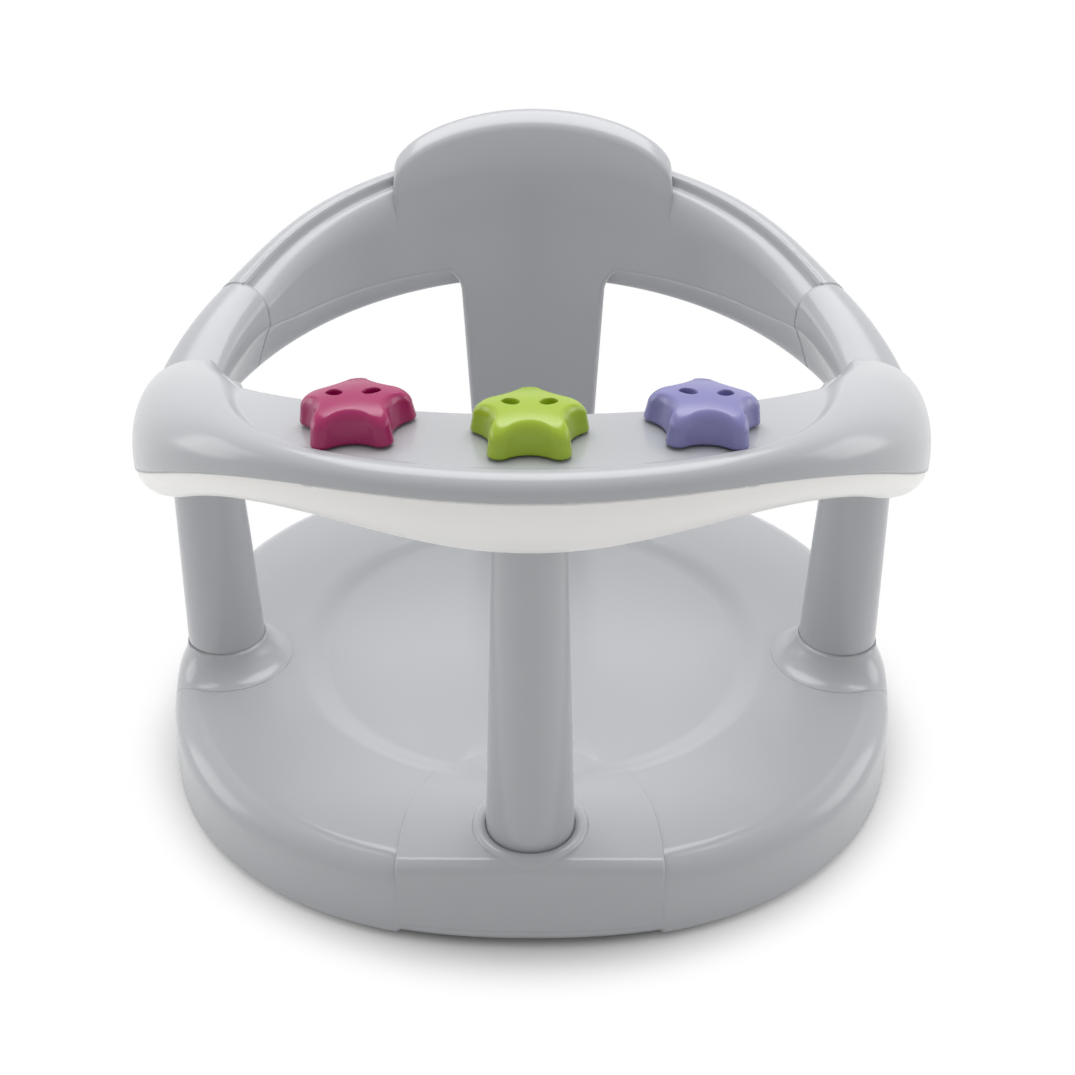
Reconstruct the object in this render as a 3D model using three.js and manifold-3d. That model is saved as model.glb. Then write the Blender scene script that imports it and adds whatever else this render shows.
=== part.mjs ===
// Baby bath ring: a round base on suction cups, three legs, a saddle-shaped ring made of
// a tray, two arms and a backrest, and three stars that spin on the tray.
// Millimetres, +Z up. The origin is the middle of the footprint, on the floor.
// The child looks towards -Y, so the tray is at -Y and the backrest at +Y.

import * as THREE from 'three';
import { mergeVertices } from 'three/addons/utils/BufferGeometryUtils.js';
import Module from 'manifold-3d';

const wasm = await Module();
wasm.setup();

const { clamp, degToRad, lerp, smoothstep } = THREE.MathUtils;

// Gap between pieces that touch, and the clearance of a piece in its hole
const FIT = 0.3;

// Ring seen from above: outer ellipse, inner edge of the tray, inner ellipse of arms and arch
const RING_HALF_WIDTH = 180;
const RING_FRONT = 172;
const RING_BACK = 165;
const TRAY_SIDE_WIDTH = 46;
const TRAY_INNER_FRONT = 114;
const TRAY_INNER_SQUARENESS = 2.3;
const ARCH_WIDTH = 31;
const ARCH_DEPTH_BACK = 22;

// Base shell, which lies inside the ring's outline
const BASE_INSET = 5;
const BASE_HALF_WIDTH = RING_HALF_WIDTH - BASE_INSET;
const BASE_SQUARENESS = 2.28;
const BASE_TOP = 38;
const BASE_FOOT = 3;
const BASE_DRAFT = 1.2;
const BASE_EDGE_RADIUS = 12;
const BASE_WALL = 3;
const DISH_RADIUS = 109;
const DISH_DEPTH = 5;
const DISH_SLOPE_WIDTH = 16;
const RIB_COUNT = 6;
const RIB_THICKNESS = 2.2;
const RIB_DEPTH = 9;
const RIB_RING_RADIUS = 62;

// Raised pad round the front leg, with a front edge that runs straight across
const PAD_HEIGHT = 0.9;
const PAD_EDGE_RADIUS = 6;
const PAD_NOSE_LENGTH = 14;
const PAD_HALF_WIDTH = 55;
const PAD_CENTRE_Y = -160;
const PAD_LENGTH = 74;

// Suction cups
const CUP_OFFSET = 95;
const CUP_RADIUS = 27;
const CUP_LAND = 2.5;
const CUP_HOLLOW = 6;
const CUP_SHOULDER_RADIUS = 9;
const CUP_NECK_RADIUS = 4.2;
const CUP_BULB_RADIUS = 6.2;
const CUP_BULB_HEIGHT = 7;
const CUP_BOSS_RADIUS = 12.5;
const CUP_BOSS_WALL = 3;
const CUP_PLATE_Z = 14;
const CUP_PLATE_THICKNESS = 2.5;

// Legs
const LEG_RADIUS = 18.6;
const LEG_TAPER = 0.031;
const LEG_WALL = 3;
const LEG_END_WALL = 4;
const LEG_POST_RADIUS = 5;
const FRONT_LEG_Y = -143.7;
const SIDE_LEG_INSET = 31.1;
const SIDE_LEG_Y = -19;
const LEG_STRAIGHT = 4;
const LEG_SOCKET_DEPTH = 23;
const SOCKET_WALL = 2.5;
const SOCKET_FLOOR = 3;
const UPPER_SOCKET_DEPTH = 20;
const UPPER_SOCKET_REACH = 40;
const UPPER_BORE_REACH = 60;

// Where the legs leave the base: a low bead round the front leg, a wide foot round each side leg
const BEAD_WIDTH = 5.6;
const BEAD_HEIGHT = 2.2;
const FLARE_WIDTH = 11.8;
const FLARE_HEIGHT = 12.5;
const FLARE_STEP = 0.5;
const FLARE_POWER = 1.7;

// Tray. Angles are measured round the ring from the front, in degrees.
const TRAY_END = 93;
const TRAY_CAP = 10;
const TRAY_RIDGE_HEIGHT = 218;
const TRAY_SURFACE_HEIGHT = 216.8;
const TRAY_RIDGE_DROP = 23;
const TRAY_SURFACE_DROP = 32;
const TRAY_DROP_ANGLE = 84;
const TRAY_DROP_POWER = 2.6;
const SEAM_HEIGHT = 209.6;
const SEAM_DROP = 61;
const LIP_WIDTH = 9.5;
const LIP_FALL = 3;
const LOBE_SHARE = 0.826;
const LOBE_START = 35;
const LOBE_FULL = 85;
const DOME_POWER = 2.4;
const TRAY_INNER_LIP = 8;
const TRAY_WALL = 2.5;
const TRAY_BASE_STEP = 0.8;

// Under-tray bowl
const BELLY_DEPTH_SIDE = 15.3;
const BELLY_DEPTH_EXTRA = 16.4;
const BELLY_SPREAD = 28;
const BELLY_LOW_POINT = 0.45;
const BELLY_POWER = 2.05;
const BELLY_INNER_LOW_POINT = 0.86;

// Arms and arch
const ARM_START = 92;
const ARM_TONGUE_START = 80;
const ARM_SEAM = 119;
const SADDLE_ANGLE = 98;
const ARCH_TOP_SIDE = 174;
const ARCH_TOP_RISE = 64;
const ARCH_SIDE_DEPTH = 37;
const ARCH_BOTTOM_RISE = 31;
const ARCH_CREASE_DEPTH = 16;
const ARCH_CREASE_RISE = 22;
const ARCH_BEVEL_WIDTH = 10.5;
const ARM_SPIGOT_INSET = 5;
const ARM_SPIGOT_SPAN = 4.5;
const ARM_TONGUE_THICKNESS = 7;
const ARM_TONGUE_WIDTH = 20;
const ARM_SCREW_WELL = 20;

// Backrest
const PANEL_HALF_WIDTH = 72;
const PANEL_SHOULDER_HEIGHT = 232;
const PANEL_TOP_HEIGHT = 263;
const PANEL_PROUD = 2;
const PANEL_THICKNESS = 24;
const PANEL_TOP_THICKNESS = 15;
const PANEL_THINNING = 20;
const PANEL_EDGE_RADIUS = 3.5;
const PANEL_TOP_SLOPE = 1;
const COLUMN_HALF_WIDTH_TOP = 38.5;
const COLUMN_TAPER = 0.05;
const COLUMN_FILLET = 15.5;
const COLUMN_THICKNESS = 20;
const COLUMN_EDGE_RADIUS = 3;
const TENON_HALF_WIDTH = 24;
const TENON_THICKNESS = 12;
const TENON_DEPTH = 20;

// Stars
const STAR_RADIUS = 21.2;
const STAR_WAIST = 12.6;
const STAR_HEIGHT = 12.4;
const STAR_EDGE = 3.6;
const STAR_WALL = 2.2;
const STAR_LIFT = 1;
const STAR_PLACE = 0.62;
const STAR_ANGLE = 23.3;
const STAR_HUB_RADIUS = 5;
const SLOT_LENGTH = 7.4;
const SLOT_WIDTH = 3.2;
const SLOT_OFFSET_X = 6.8;
const SLOT_OFFSET_Y = 2.6;
const SLOT_TURN = 45;
const BUSHING_WALL = 3;
const BUSHING_DEPTH = 4;
const WASHER_RADIUS = 8;
const WASHER_THICKNESS = 1.5;

// Self-tapping screws
const SCREW_RADIUS = 1.75;
const SCREW_HEAD_RADIUS = 3.5;
const SCREW_HEAD_HEIGHT = 2.4;
const SCREW_LENGTH = 13;
const TRAY_SCREW_ANGLES = [-54, -14, 14, 54];
const TRAY_SCREW_PLACE = 0.5;
const TRAY_SCREW_WELL = 20;
const BACK_SCREW_X = 15;

// Facet counts
const BASE_SIDES = 36;
const BASE_EDGE_STEPS = 3;
const DISH_STEPS = 2;
const RIB_SIDES = 24;
const PAD_SIDES = 12;
const NOSE_STEPS = 3;
const COLLAR_SIDES = 16;
const TRAY_STATIONS = 27;
const HOLLOW_STATIONS = 15;
const ARM_STATIONS = 6;
const ARCH_STATIONS = 17;
const PANEL_STATIONS = 13;
const STAR_POINTS = 30;
const CUP_SIDES = 12;
const HUB_SIDES = 12;
const ROUND_SIDES = 16;
const SMALL_SIDES = 6;

// Solids from closed surfaces

function solidFromTriangles(positions, indices) {
  const bare = new THREE.BufferGeometry();
  bare.setAttribute('position', new THREE.Float32BufferAttribute(positions, 3));
  bare.setIndex(indices);
  return solidFromGeometry(bare);
}

function solidFromGeometry(geometry) {
  const bare = geometry.clone();
  bare.deleteAttribute('normal');
  bare.deleteAttribute('uv');
  const merged = mergeVertices(bare, 1e-4);
  const corners = merged.getIndex().array;
  const kept = [];
  for (let i = 0; i < corners.length; i += 3) {
    const [a, b, c] = corners.slice(i, i + 3);
    if (a !== b && b !== c && c !== a) kept.push(a, b, c);
  }
  const points = merged.getAttribute('position').array;
  if (signedVolume(points, kept) < 0) kept.reverse();
  return new wasm.Manifold(new wasm.Mesh({
    numProp: 3,
    vertProperties: Float32Array.from(points),
    triVerts: Uint32Array.from(kept),
  }));
}

function signedVolume(points, corners) {
  const corner = (i) => new THREE.Vector3().fromArray(points, 3 * i);
  let volume = 0;
  for (let i = 0; i < corners.length; i += 3) {
    volume += corner(corners[i]).dot(corner(corners[i + 1]).cross(corner(corners[i + 2]))) / 6;
  }
  return volume;
}

// A closed body through rings of points, each ring a loop with the same number of points.
// The first and the last ring are filled in.
function loft(rings) {
  const size = rings[0].length;
  const positions = rings.flat().flatMap((point) => point.toArray());
  const indices = [];
  for (let i = 0; i + 1 < rings.length; i++) {
    for (let j = 0; j < size; j++) {
      const a = i * size + j;
      const b = i * size + (j + 1) % size;
      indices.push(a, b, b + size, a, b + size, a + size);
    }
  }
  capFaces(rings[0]).forEach(([a, b, c]) => indices.push(c, b, a));
  const last = (rings.length - 1) * size;
  capFaces(rings.at(-1)).forEach(([a, b, c]) => indices.push(last + a, last + b, last + c));
  return solidFromTriangles(positions, indices);
}

// Triangles that fill a ring, wound the same way as the ring
function capFaces(ring) {
  const normal = new THREE.Vector3();
  ring.forEach((point, i) => normal.add(point.clone().cross(ring[(i + 1) % ring.length])));
  normal.normalize();
  const axis = Math.abs(normal.z) < 0.9 ? new THREE.Vector3(0, 0, 1) : new THREE.Vector3(1, 0, 0);
  const right = axis.clone().cross(normal).normalize();
  const up = normal.clone().cross(right);
  const flat = ring.map((point) => new THREE.Vector2(point.dot(right), point.dot(up)));
  return THREE.ShapeUtils.triangulateShape(flat, []).map(([a, b, c]) => {
    const turn = flat[b].clone().sub(flat[a]).cross(flat[c].clone().sub(flat[a]));
    return turn > 0 ? [a, b, c] : [a, c, b];
  });
}

// A body of revolution about a vertical axis. The profile is a list of [radius, height]
// that starts and ends on the axis.
function revolve(profile, sides = ROUND_SIDES, x = 0, y = 0) {
  const points = profile.map(([radius, height]) => new THREE.Vector2(radius, height));
  const geometry = new THREE.LatheGeometry(points, sides);
  geometry.rotateX(Math.PI / 2);
  geometry.translate(x, y, 0);
  return solidFromGeometry(geometry);
}

function disc(radius, bottom, top, sides = ROUND_SIDES, x = 0, y = 0) {
  return revolve([[0, bottom], [radius, bottom], [radius, top], [0, top]], sides, x, y);
}

function block(width, depth, bottom, top, x = 0, y = 0, turn = 0) {
  const geometry = new THREE.BoxGeometry(width, depth, top - bottom);
  geometry.translate(x, y, (bottom + top) / 2);
  geometry.rotateZ(turn);
  return solidFromGeometry(geometry);
}

function moved(solid, matrix) {
  return solidFromGeometry(geometryOf(solid).applyMatrix4(matrix));
}

function joined(solids) {
  return solids.reduce((whole, solid) => whole.add(solid));
}

function without(solid, cutters) {
  return cutters.reduce((rest, cutter) => rest.subtract(cutter), solid);
}

function geometryOf(solid) {
  const mesh = solid.getMesh();
  const geometry = new THREE.BufferGeometry();
  geometry.setAttribute('position', new THREE.BufferAttribute(mesh.vertProperties, 3));
  geometry.setIndex(new THREE.BufferAttribute(mesh.triVerts, 1));
  geometry.computeVertexNormals();
  return geometry;
}

function superellipse(angle, halfX, halfY, exponent) {
  const power = 2 / exponent;
  const along = (share) => Math.sign(share) * Math.abs(share) ** power;
  return new THREE.Vector2(halfX * along(Math.cos(angle)), halfY * along(Math.sin(angle)));
}

// Screws: a pan head with its shank along +Z, standing on height 0 under the head

function screwProfile() {
  return [
    [0, -SCREW_HEAD_HEIGHT],
    [0.7 * SCREW_HEAD_RADIUS, -SCREW_HEAD_HEIGHT],
    [SCREW_HEAD_RADIUS, 0],
    [SCREW_RADIUS, 0],
    [SCREW_RADIUS, SCREW_LENGTH - 2],
    [0, SCREW_LENGTH],
  ];
}

function screwUp(x, y, seat) {
  return moved(revolve(screwProfile(), SMALL_SIDES), new THREE.Matrix4().makeTranslation(x, y, seat));
}

function screwDown(x, y, seat) {
  const turned = new THREE.Matrix4().makeRotationX(Math.PI);
  return moved(revolve(screwProfile(), SMALL_SIDES), turned.setPosition(x, y, seat));
}

function pilotHole(x, y, bottom, top) {
  return disc(SCREW_RADIUS + FIT, bottom, top, SMALL_SIDES, x, y);
}

// Base shell

function baseRing(radius, height) {
  const blend = (radius / BASE_HALF_WIDTH) ** 2;
  const exponent = lerp(2, BASE_SQUARENESS, blend);
  return Array.from({ length: BASE_SIDES }, (_, i) => {
    const point = superellipse((2 * Math.PI * i) / BASE_SIDES, radius, radius, exponent);
    return new THREE.Vector3(point.x, point.y, height);
  });
}

// The filled outer form: wall, rounded edge and the dish in the middle
function baseForm() {
  const rings = [baseRing(BASE_HALF_WIDTH + BASE_DRAFT, BASE_FOOT)];
  for (let step = 0; step <= BASE_EDGE_STEPS; step++) {
    const angle = (step / BASE_EDGE_STEPS) * (Math.PI / 2);
    rings.push(baseRing(
      BASE_HALF_WIDTH - BASE_EDGE_RADIUS * (1 - Math.cos(angle)),
      BASE_TOP - BASE_EDGE_RADIUS * (1 - Math.sin(angle)),
    ));
  }
  for (let step = 0; step <= DISH_STEPS; step++) {
    const share = step / DISH_STEPS;
    const radius = DISH_RADIUS + DISH_SLOPE_WIDTH * (0.5 - share);
    rings.push(baseRing(radius, BASE_TOP - DISH_DEPTH * smoothstep(share, 0, 1)));
  }
  return loft(rings);
}

// The hollow under the form, a wall thickness inside it
function baseHollow() {
  const top = BASE_TOP - BASE_WALL;
  const edge = BASE_HALF_WIDTH - BASE_EDGE_RADIUS;
  const corner = (BASE_EDGE_RADIUS - BASE_WALL) * Math.SQRT1_2;
  return loft([
    baseRing(BASE_HALF_WIDTH + BASE_DRAFT - BASE_WALL, 0),
    baseRing(BASE_HALF_WIDTH - BASE_WALL, BASE_TOP - BASE_EDGE_RADIUS),
    baseRing(edge + corner, BASE_TOP - BASE_EDGE_RADIUS + corner),
    baseRing(edge, top),
    baseRing(DISH_RADIUS + DISH_SLOPE_WIDTH / 2, top),
    baseRing(DISH_RADIUS - DISH_SLOPE_WIDTH / 2, top - DISH_DEPTH),
  ]);
}

function padOutline() {
  const shape = new THREE.Shape();
  const beyond = -BASE_HALF_WIDTH - BASE_EDGE_RADIUS;
  shape.moveTo(PAD_HALF_WIDTH, beyond);
  for (let step = 0; step <= PAD_SIDES; step++) {
    const turn = (step * Math.PI) / PAD_SIDES;
    const point = superellipse(turn, PAD_HALF_WIDTH, PAD_LENGTH, BASE_SQUARENESS);
    shape.lineTo(point.x, PAD_CENTRE_Y + point.y);
  }
  shape.lineTo(-PAD_HALF_WIDTH, beyond);
  return shape;
}

// Where the base's outline passes the pad's sides: the pad's front edge runs straight between
const PAD_FRONT_SHARE = 1 - (PAD_HALF_WIDTH / BASE_HALF_WIDTH) ** BASE_SQUARENESS;
const PAD_FRONT_Y = -BASE_HALF_WIDTH * PAD_FRONT_SHARE ** (1 / BASE_SQUARENESS);

// The pad's nose: a bar across the pad with a rounded front edge
function padNose() {
  const top = BASE_TOP + PAD_HEIGHT;
  const bottom = BASE_TOP - BASE_EDGE_RADIUS;
  const shape = new THREE.Shape();
  shape.moveTo(PAD_FRONT_Y + PAD_NOSE_LENGTH, bottom);
  shape.lineTo(PAD_FRONT_Y + PAD_NOSE_LENGTH, top);
  shape.absarc(PAD_FRONT_Y + PAD_EDGE_RADIUS, top - PAD_EDGE_RADIUS, PAD_EDGE_RADIUS, Math.PI / 2, Math.PI);
  shape.lineTo(PAD_FRONT_Y, bottom);
  const bar = new THREE.ExtrudeGeometry(shape, { depth: 2 * PAD_HALF_WIDTH, bevelEnabled: false, curveSegments: NOSE_STEPS });
  bar.applyMatrix4(new THREE.Matrix4().makeBasis(
    new THREE.Vector3(0, 1, 0),
    new THREE.Vector3(0, 0, 1),
    new THREE.Vector3(1, 0, 0),
  ));
  bar.translate(-PAD_HALF_WIDTH, 0, 0);
  return solidFromGeometry(bar);
}

// The room in front of the pad's face: above it follows the nose, which runs straight across,
// and towards the foot the face bulges out to the base's own outline
function faceCutter(inset) {
  const beyond = -BASE_HALF_WIDTH - BASE_EDGE_RADIUS;
  const foot = baseRing(BASE_HALF_WIDTH + BASE_DRAFT, BASE_FOOT)
    .filter(({ x, y }) => y < 0 && Math.abs(x) < PAD_HALF_WIDTH)
    .map(({ x, y }) => [x, y - FIT]);
  const side = PAD_FRONT_Y - BASE_DRAFT - FIT;
  const footEdge = [[-PAD_HALF_WIDTH, side], ...foot, [PAD_HALF_WIDTH, side]];
  const ring = (edge, height) => [
    ...edge.map(([x, y]) => new THREE.Vector3(x, y + inset, height)),
    new THREE.Vector3(PAD_HALF_WIDTH, beyond, height),
    new THREE.Vector3(-PAD_HALF_WIDTH, beyond, height),
  ];
  const straight = (edgeY) => footEdge.map(([x]) => [x, edgeY]);
  const spring = BASE_TOP + PAD_HEIGHT - PAD_EDGE_RADIUS;
  const nose = Array.from({ length: NOSE_STEPS + 1 }, (_, step) => {
    const turn = (step / NOSE_STEPS) * (Math.PI / 2);
    return ring(
      straight(PAD_FRONT_Y + PAD_EDGE_RADIUS * (1 - Math.cos(turn))),
      spring + PAD_EDGE_RADIUS * Math.sin(turn),
    );
  });
  const above = ring(straight(PAD_FRONT_Y + PAD_EDGE_RADIUS), BASE_TOP + BASE_EDGE_RADIUS);
  return loft([ring(footEdge, BASE_FOOT), ...nose, above]);
}

// Behind its nose the pad is the base's own form raised a little inside the pad's outline
function frontPad() {
  const prism = new THREE.ExtrudeGeometry(padOutline(), { depth: BASE_TOP, bevelEnabled: false });
  prism.translate(0, 0, BASE_TOP - BASE_EDGE_RADIUS);
  const raised = moved(baseForm(), new THREE.Matrix4().makeTranslation(0, 0, PAD_HEIGHT));
  const front = PAD_FRONT_Y + PAD_EDGE_RADIUS;
  const behind = block(2 * BASE_HALF_WIDTH, -front, 0, 2 * BASE_TOP, 0, front / 2);
  return raised.intersect(behind).add(padNose()).intersect(solidFromGeometry(prism));
}

const SIDE_LEG_X = RING_HALF_WIDTH - SIDE_LEG_INSET;
const LEG_PLACES = {
  front_leg: { x: 0, y: FRONT_LEG_Y },
  left_leg: { x: -SIDE_LEG_X, y: SIDE_LEG_Y },
  right_leg: { x: SIDE_LEG_X, y: SIDE_LEG_Y },
};
const TAPER_START = BASE_TOP + LEG_STRAIGHT;
const LEG_FOOT = BASE_TOP - LEG_SOCKET_DEPTH;

function legRadiusAt(height) {
  return LEG_RADIUS - LEG_TAPER * Math.max(0, height - TAPER_START);
}

// The radius of the base's outline through a point, settled in a few rounds
function baseRadiusAt(x, y) {
  return Array.from({ length: 8 }).reduce((radius) => {
    const exponent = lerp(2, BASE_SQUARENESS, (radius / BASE_HALF_WIDTH) ** 2);
    return (Math.abs(x) ** exponent + Math.abs(y) ** exponent) ** (1 / exponent);
  }, Math.hypot(x, y));
}

// Height of the base's flat and of its rounded edge at a point
function baseHeightAt(x, y) {
  const start = BASE_HALF_WIDTH - BASE_EDGE_RADIUS;
  const past = clamp(baseRadiusAt(x, y) - start, 0, BASE_EDGE_RADIUS);
  return BASE_TOP - BASE_EDGE_RADIUS + Math.sqrt(BASE_EDGE_RADIUS ** 2 - past ** 2);
}

function padHeightAt(x, y) {
  const past = clamp(PAD_FRONT_Y + PAD_EDGE_RADIUS - y, 0, PAD_EDGE_RADIUS);
  return BASE_TOP + PAD_HEIGHT - PAD_EDGE_RADIUS + Math.sqrt(PAD_EDGE_RADIUS ** 2 - past ** 2);
}

// Rings of points round a leg, each a distance outside its bore and a rise above the surface
// there. They start in the base's skin, and none passes the base's outline.
function collar({ x, y }, profile, heightAt) {
  const sunk = BASE_WALL / 2;
  return loft([[profile[0][0], -sunk], ...profile].map(([distance, rise]) => (
    Array.from({ length: COLLAR_SIDES }, (_, i) => {
      const turn = (2 * Math.PI * i) / COLLAR_SIDES;
      const radius = LEG_RADIUS + FIT + distance;
      const point = new THREE.Vector2(x + radius * Math.cos(turn), y + radius * Math.sin(turn));
      const over = baseRadiusAt(point.x, point.y) / (BASE_HALF_WIDTH - sunk);
      point.divideScalar(Math.max(1, over));
      return new THREE.Vector3(point.x, point.y, heightAt(point.x, point.y) + rise);
    })
  )));
}

// A half-round bead, from its outer foot inwards
function frontLegBead() {
  const profile = [1, 0.85, 0.6, 0.3].map((share) => {
    const turn = Math.PI * share;
    return [BEAD_WIDTH * (1 - Math.cos(turn)) / 2, BEAD_HEIGHT * Math.sin(turn) ** 0.8];
  });
  return collar(LEG_PLACES.front_leg, profile, padHeightAt);
}

// A hollow curve from the leg's side down to a small step
function sideLegFlare(place) {
  const profile = [1, 0.7, 0.4, 0.15, 0.03].map((share) => {
    const rise = 1 - (1 - (1 - share) ** FLARE_POWER) ** (1 / FLARE_POWER);
    return [FLARE_WIDTH * share, lerp(FLARE_STEP, FLARE_HEIGHT, rise)];
  });
  return collar(place, profile, baseHeightAt);
}

function legSocket({ x, y }) {
  return disc(LEG_RADIUS + FIT + SOCKET_WALL, LEG_FOOT - SOCKET_FLOOR - FIT, BASE_TOP - 1, ROUND_SIDES, x, y);
}

function legBore({ x, y }) {
  const bore = disc(LEG_RADIUS + FIT, LEG_FOOT - FIT, BASE_TOP + FLARE_HEIGHT + 1, ROUND_SIDES, x, y);
  return bore.add(pilotHole(x, y, 0, LEG_FOOT));
}

const CUP_PLACES = [[-1, -1], [1, -1], [-1, 1], [1, 1]].map(([sideX, sideY]) => (
  { x: sideX * CUP_OFFSET, y: sideY * CUP_OFFSET }
));
const CUP_PLATE_TOP = CUP_PLATE_Z + CUP_PLATE_THICKNESS;

function cupBoss({ x, y }) {
  return disc(CUP_BOSS_RADIUS, CUP_PLATE_Z, BASE_TOP - BASE_WALL, CUP_SIDES, x, y);
}

// The stem's hole with the room above it, closed on top by the base itself
function cupHole({ x, y }) {
  const room = disc(CUP_BOSS_RADIUS - CUP_BOSS_WALL, CUP_PLATE_TOP, BASE_TOP - BASE_WALL - 2, CUP_SIDES, x, y);
  return room.add(disc(CUP_NECK_RADIUS + FIT, 0, CUP_PLATE_TOP + 1, CUP_SIDES, x, y));
}

const BACK_FACE_Y = RING_BACK - ARCH_DEPTH_BACK - PANEL_PROUD;
const TENON_Y = BACK_FACE_Y + COLUMN_THICKNESS / 2;
const TENON_FOOT = BASE_TOP - TENON_DEPTH;

function tenonSocket() {
  const wall = FIT + SOCKET_WALL;
  return block(2 * (TENON_HALF_WIDTH + wall), TENON_THICKNESS + 2 * wall,
    TENON_FOOT - FIT - SOCKET_FLOOR, BASE_TOP - 1, 0, TENON_Y);
}

function tenonBore() {
  const slot = block(2 * (TENON_HALF_WIDTH + FIT), TENON_THICKNESS + 2 * FIT,
    TENON_FOOT - FIT, BASE_TOP + 1, 0, TENON_Y);
  const holes = [-BACK_SCREW_X, BACK_SCREW_X].map((x) => pilotHole(x, TENON_Y, 0, TENON_FOOT));
  return joined([slot, ...holes]);
}

// One spoke seen from the side; its upper edge stays inside the skin
function spoke(turn) {
  const bottom = BASE_TOP - DISH_DEPTH - BASE_WALL - RIB_DEPTH;
  const sunk = BASE_WALL / 2;
  const high = BASE_TOP - sunk / 2;
  const low = high - DISH_DEPTH;
  const reach = superellipse(turn, BASE_HALF_WIDTH, BASE_HALF_WIDTH, BASE_SQUARENESS).length();
  const centre = reach - BASE_EDGE_RADIUS;
  const corner = (BASE_EDGE_RADIUS - sunk) * Math.SQRT1_2;
  const shape = new THREE.Shape([
    [RIB_RING_RADIUS, bottom],
    [reach - sunk, bottom],
    [reach - sunk, BASE_TOP - BASE_EDGE_RADIUS],
    [centre + corner, BASE_TOP - BASE_EDGE_RADIUS + corner],
    [centre, high],
    [DISH_RADIUS + DISH_SLOPE_WIDTH / 2, high],
    [DISH_RADIUS - DISH_SLOPE_WIDTH / 2, low],
    [RIB_RING_RADIUS, low],
  ].map(([x, y]) => new THREE.Vector2(x, y)));
  const geometry = new THREE.ExtrudeGeometry(shape, { depth: RIB_THICKNESS, bevelEnabled: false });
  geometry.translate(0, 0, -RIB_THICKNESS / 2);
  geometry.rotateX(Math.PI / 2);
  geometry.rotateZ(turn);
  return solidFromGeometry(geometry);
}

function underRibs() {
  const bottom = BASE_TOP - DISH_DEPTH - BASE_WALL - RIB_DEPTH;
  const top = BASE_TOP - DISH_DEPTH - BASE_WALL / 2;
  const spokes = Array.from({ length: RIB_COUNT }, (_, i) => spoke((2 * Math.PI * (i + 0.5)) / RIB_COUNT));
  const ring = disc(RIB_RING_RADIUS + RIB_THICKNESS, bottom, top, RIB_SIDES)
    .subtract(disc(RIB_RING_RADIUS, bottom - 1, top + 1, RIB_SIDES));
  return joined([ring, ...spokes]);
}

function baseShell() {
  const legs = Object.values(LEG_PLACES);
  const hollow = baseHollow().subtract(faceCutter(BASE_WALL));
  const skin = baseForm().subtract(faceCutter(0)).add(frontPad()).subtract(hollow);
  const body = joined([
    skin,
    underRibs().subtract(faceCutter(BASE_WALL / 2)),
    frontLegBead(),
    sideLegFlare(LEG_PLACES.left_leg),
    sideLegFlare(LEG_PLACES.right_leg),
    ...legs.map(legSocket),
    ...CUP_PLACES.map(cupBoss),
    tenonSocket(),
  ]);
  return without(body, [...legs.map(legBore), ...CUP_PLACES.map(cupHole), tenonBore()]);
}

function suctionCup({ x, y }) {
  const neckBottom = CUP_PLATE_Z - FIT;
  const neckTop = CUP_PLATE_TOP + FIT;
  return revolve([
    [0, CUP_HOLLOW],
    [0.7 * CUP_RADIUS, 0.45 * CUP_HOLLOW],
    [CUP_RADIUS - CUP_LAND, 0],
    [CUP_RADIUS, 0],
    [CUP_RADIUS, 1],
    [CUP_SHOULDER_RADIUS, CUP_HOLLOW + 3.5],
    [CUP_SHOULDER_RADIUS, neckBottom],
    [CUP_NECK_RADIUS, neckBottom],
    [CUP_NECK_RADIUS, neckTop],
    [CUP_BULB_RADIUS, neckTop],
    [CUP_BULB_RADIUS, neckTop + 0.4 * CUP_BULB_HEIGHT],
    [0.5 * CUP_BULB_RADIUS, neckTop + CUP_BULB_HEIGHT],
    [0, neckTop + CUP_BULB_HEIGHT],
  ], CUP_SIDES, x, y);
}

// Ring seen from above. A point is found by its angle from the front and its share of
// the way from the outer edge to the inner one; negative angles are on the right.

function outerEdge(angle) {
  const length = Math.cos(angle) > 0 ? RING_FRONT : RING_BACK;
  return new THREE.Vector2(-RING_HALF_WIDTH * Math.sin(angle), -length * Math.cos(angle));
}

const TRAY_INNER_HALF_WIDTH = RING_HALF_WIDTH - TRAY_SIDE_WIDTH;
const LOBE_WIDTH = LOBE_SHARE * TRAY_SIDE_WIDTH;

function trayInnerEdge(angle) {
  return superellipse(-Math.PI / 2 - angle, TRAY_INNER_HALF_WIDTH, TRAY_INNER_FRONT, TRAY_INNER_SQUARENESS);
}

function archInnerEdge(angle) {
  const depth = Math.cos(angle) > 0 ? RING_FRONT - ARCH_WIDTH : RING_BACK - ARCH_DEPTH_BACK;
  return new THREE.Vector2(-(RING_HALF_WIDTH - ARCH_WIDTH) * Math.sin(angle), -depth * Math.cos(angle));
}

// Heights of the tray at an angle in radians
function trayDrop(angle, amount) {
  return amount * (Math.abs(THREE.MathUtils.radToDeg(angle)) / TRAY_DROP_ANGLE) ** TRAY_DROP_POWER;
}

const ridgeHeight = (angle) => TRAY_RIDGE_HEIGHT - trayDrop(angle, TRAY_RIDGE_DROP);
const surfaceHeight = (angle) => TRAY_SURFACE_HEIGHT - trayDrop(angle, TRAY_SURFACE_DROP);
const seamHeight = (angle) => SEAM_HEIGHT - SEAM_DROP * Math.sin(angle) ** 4;
const innerSeamHeight = (angle) => surfaceHeight(angle) - TRAY_INNER_LIP;

function lobeShare(angle) {
  return smoothstep(Math.abs(THREE.MathUtils.radToDeg(angle)), LOBE_START, LOBE_FULL);
}

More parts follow.
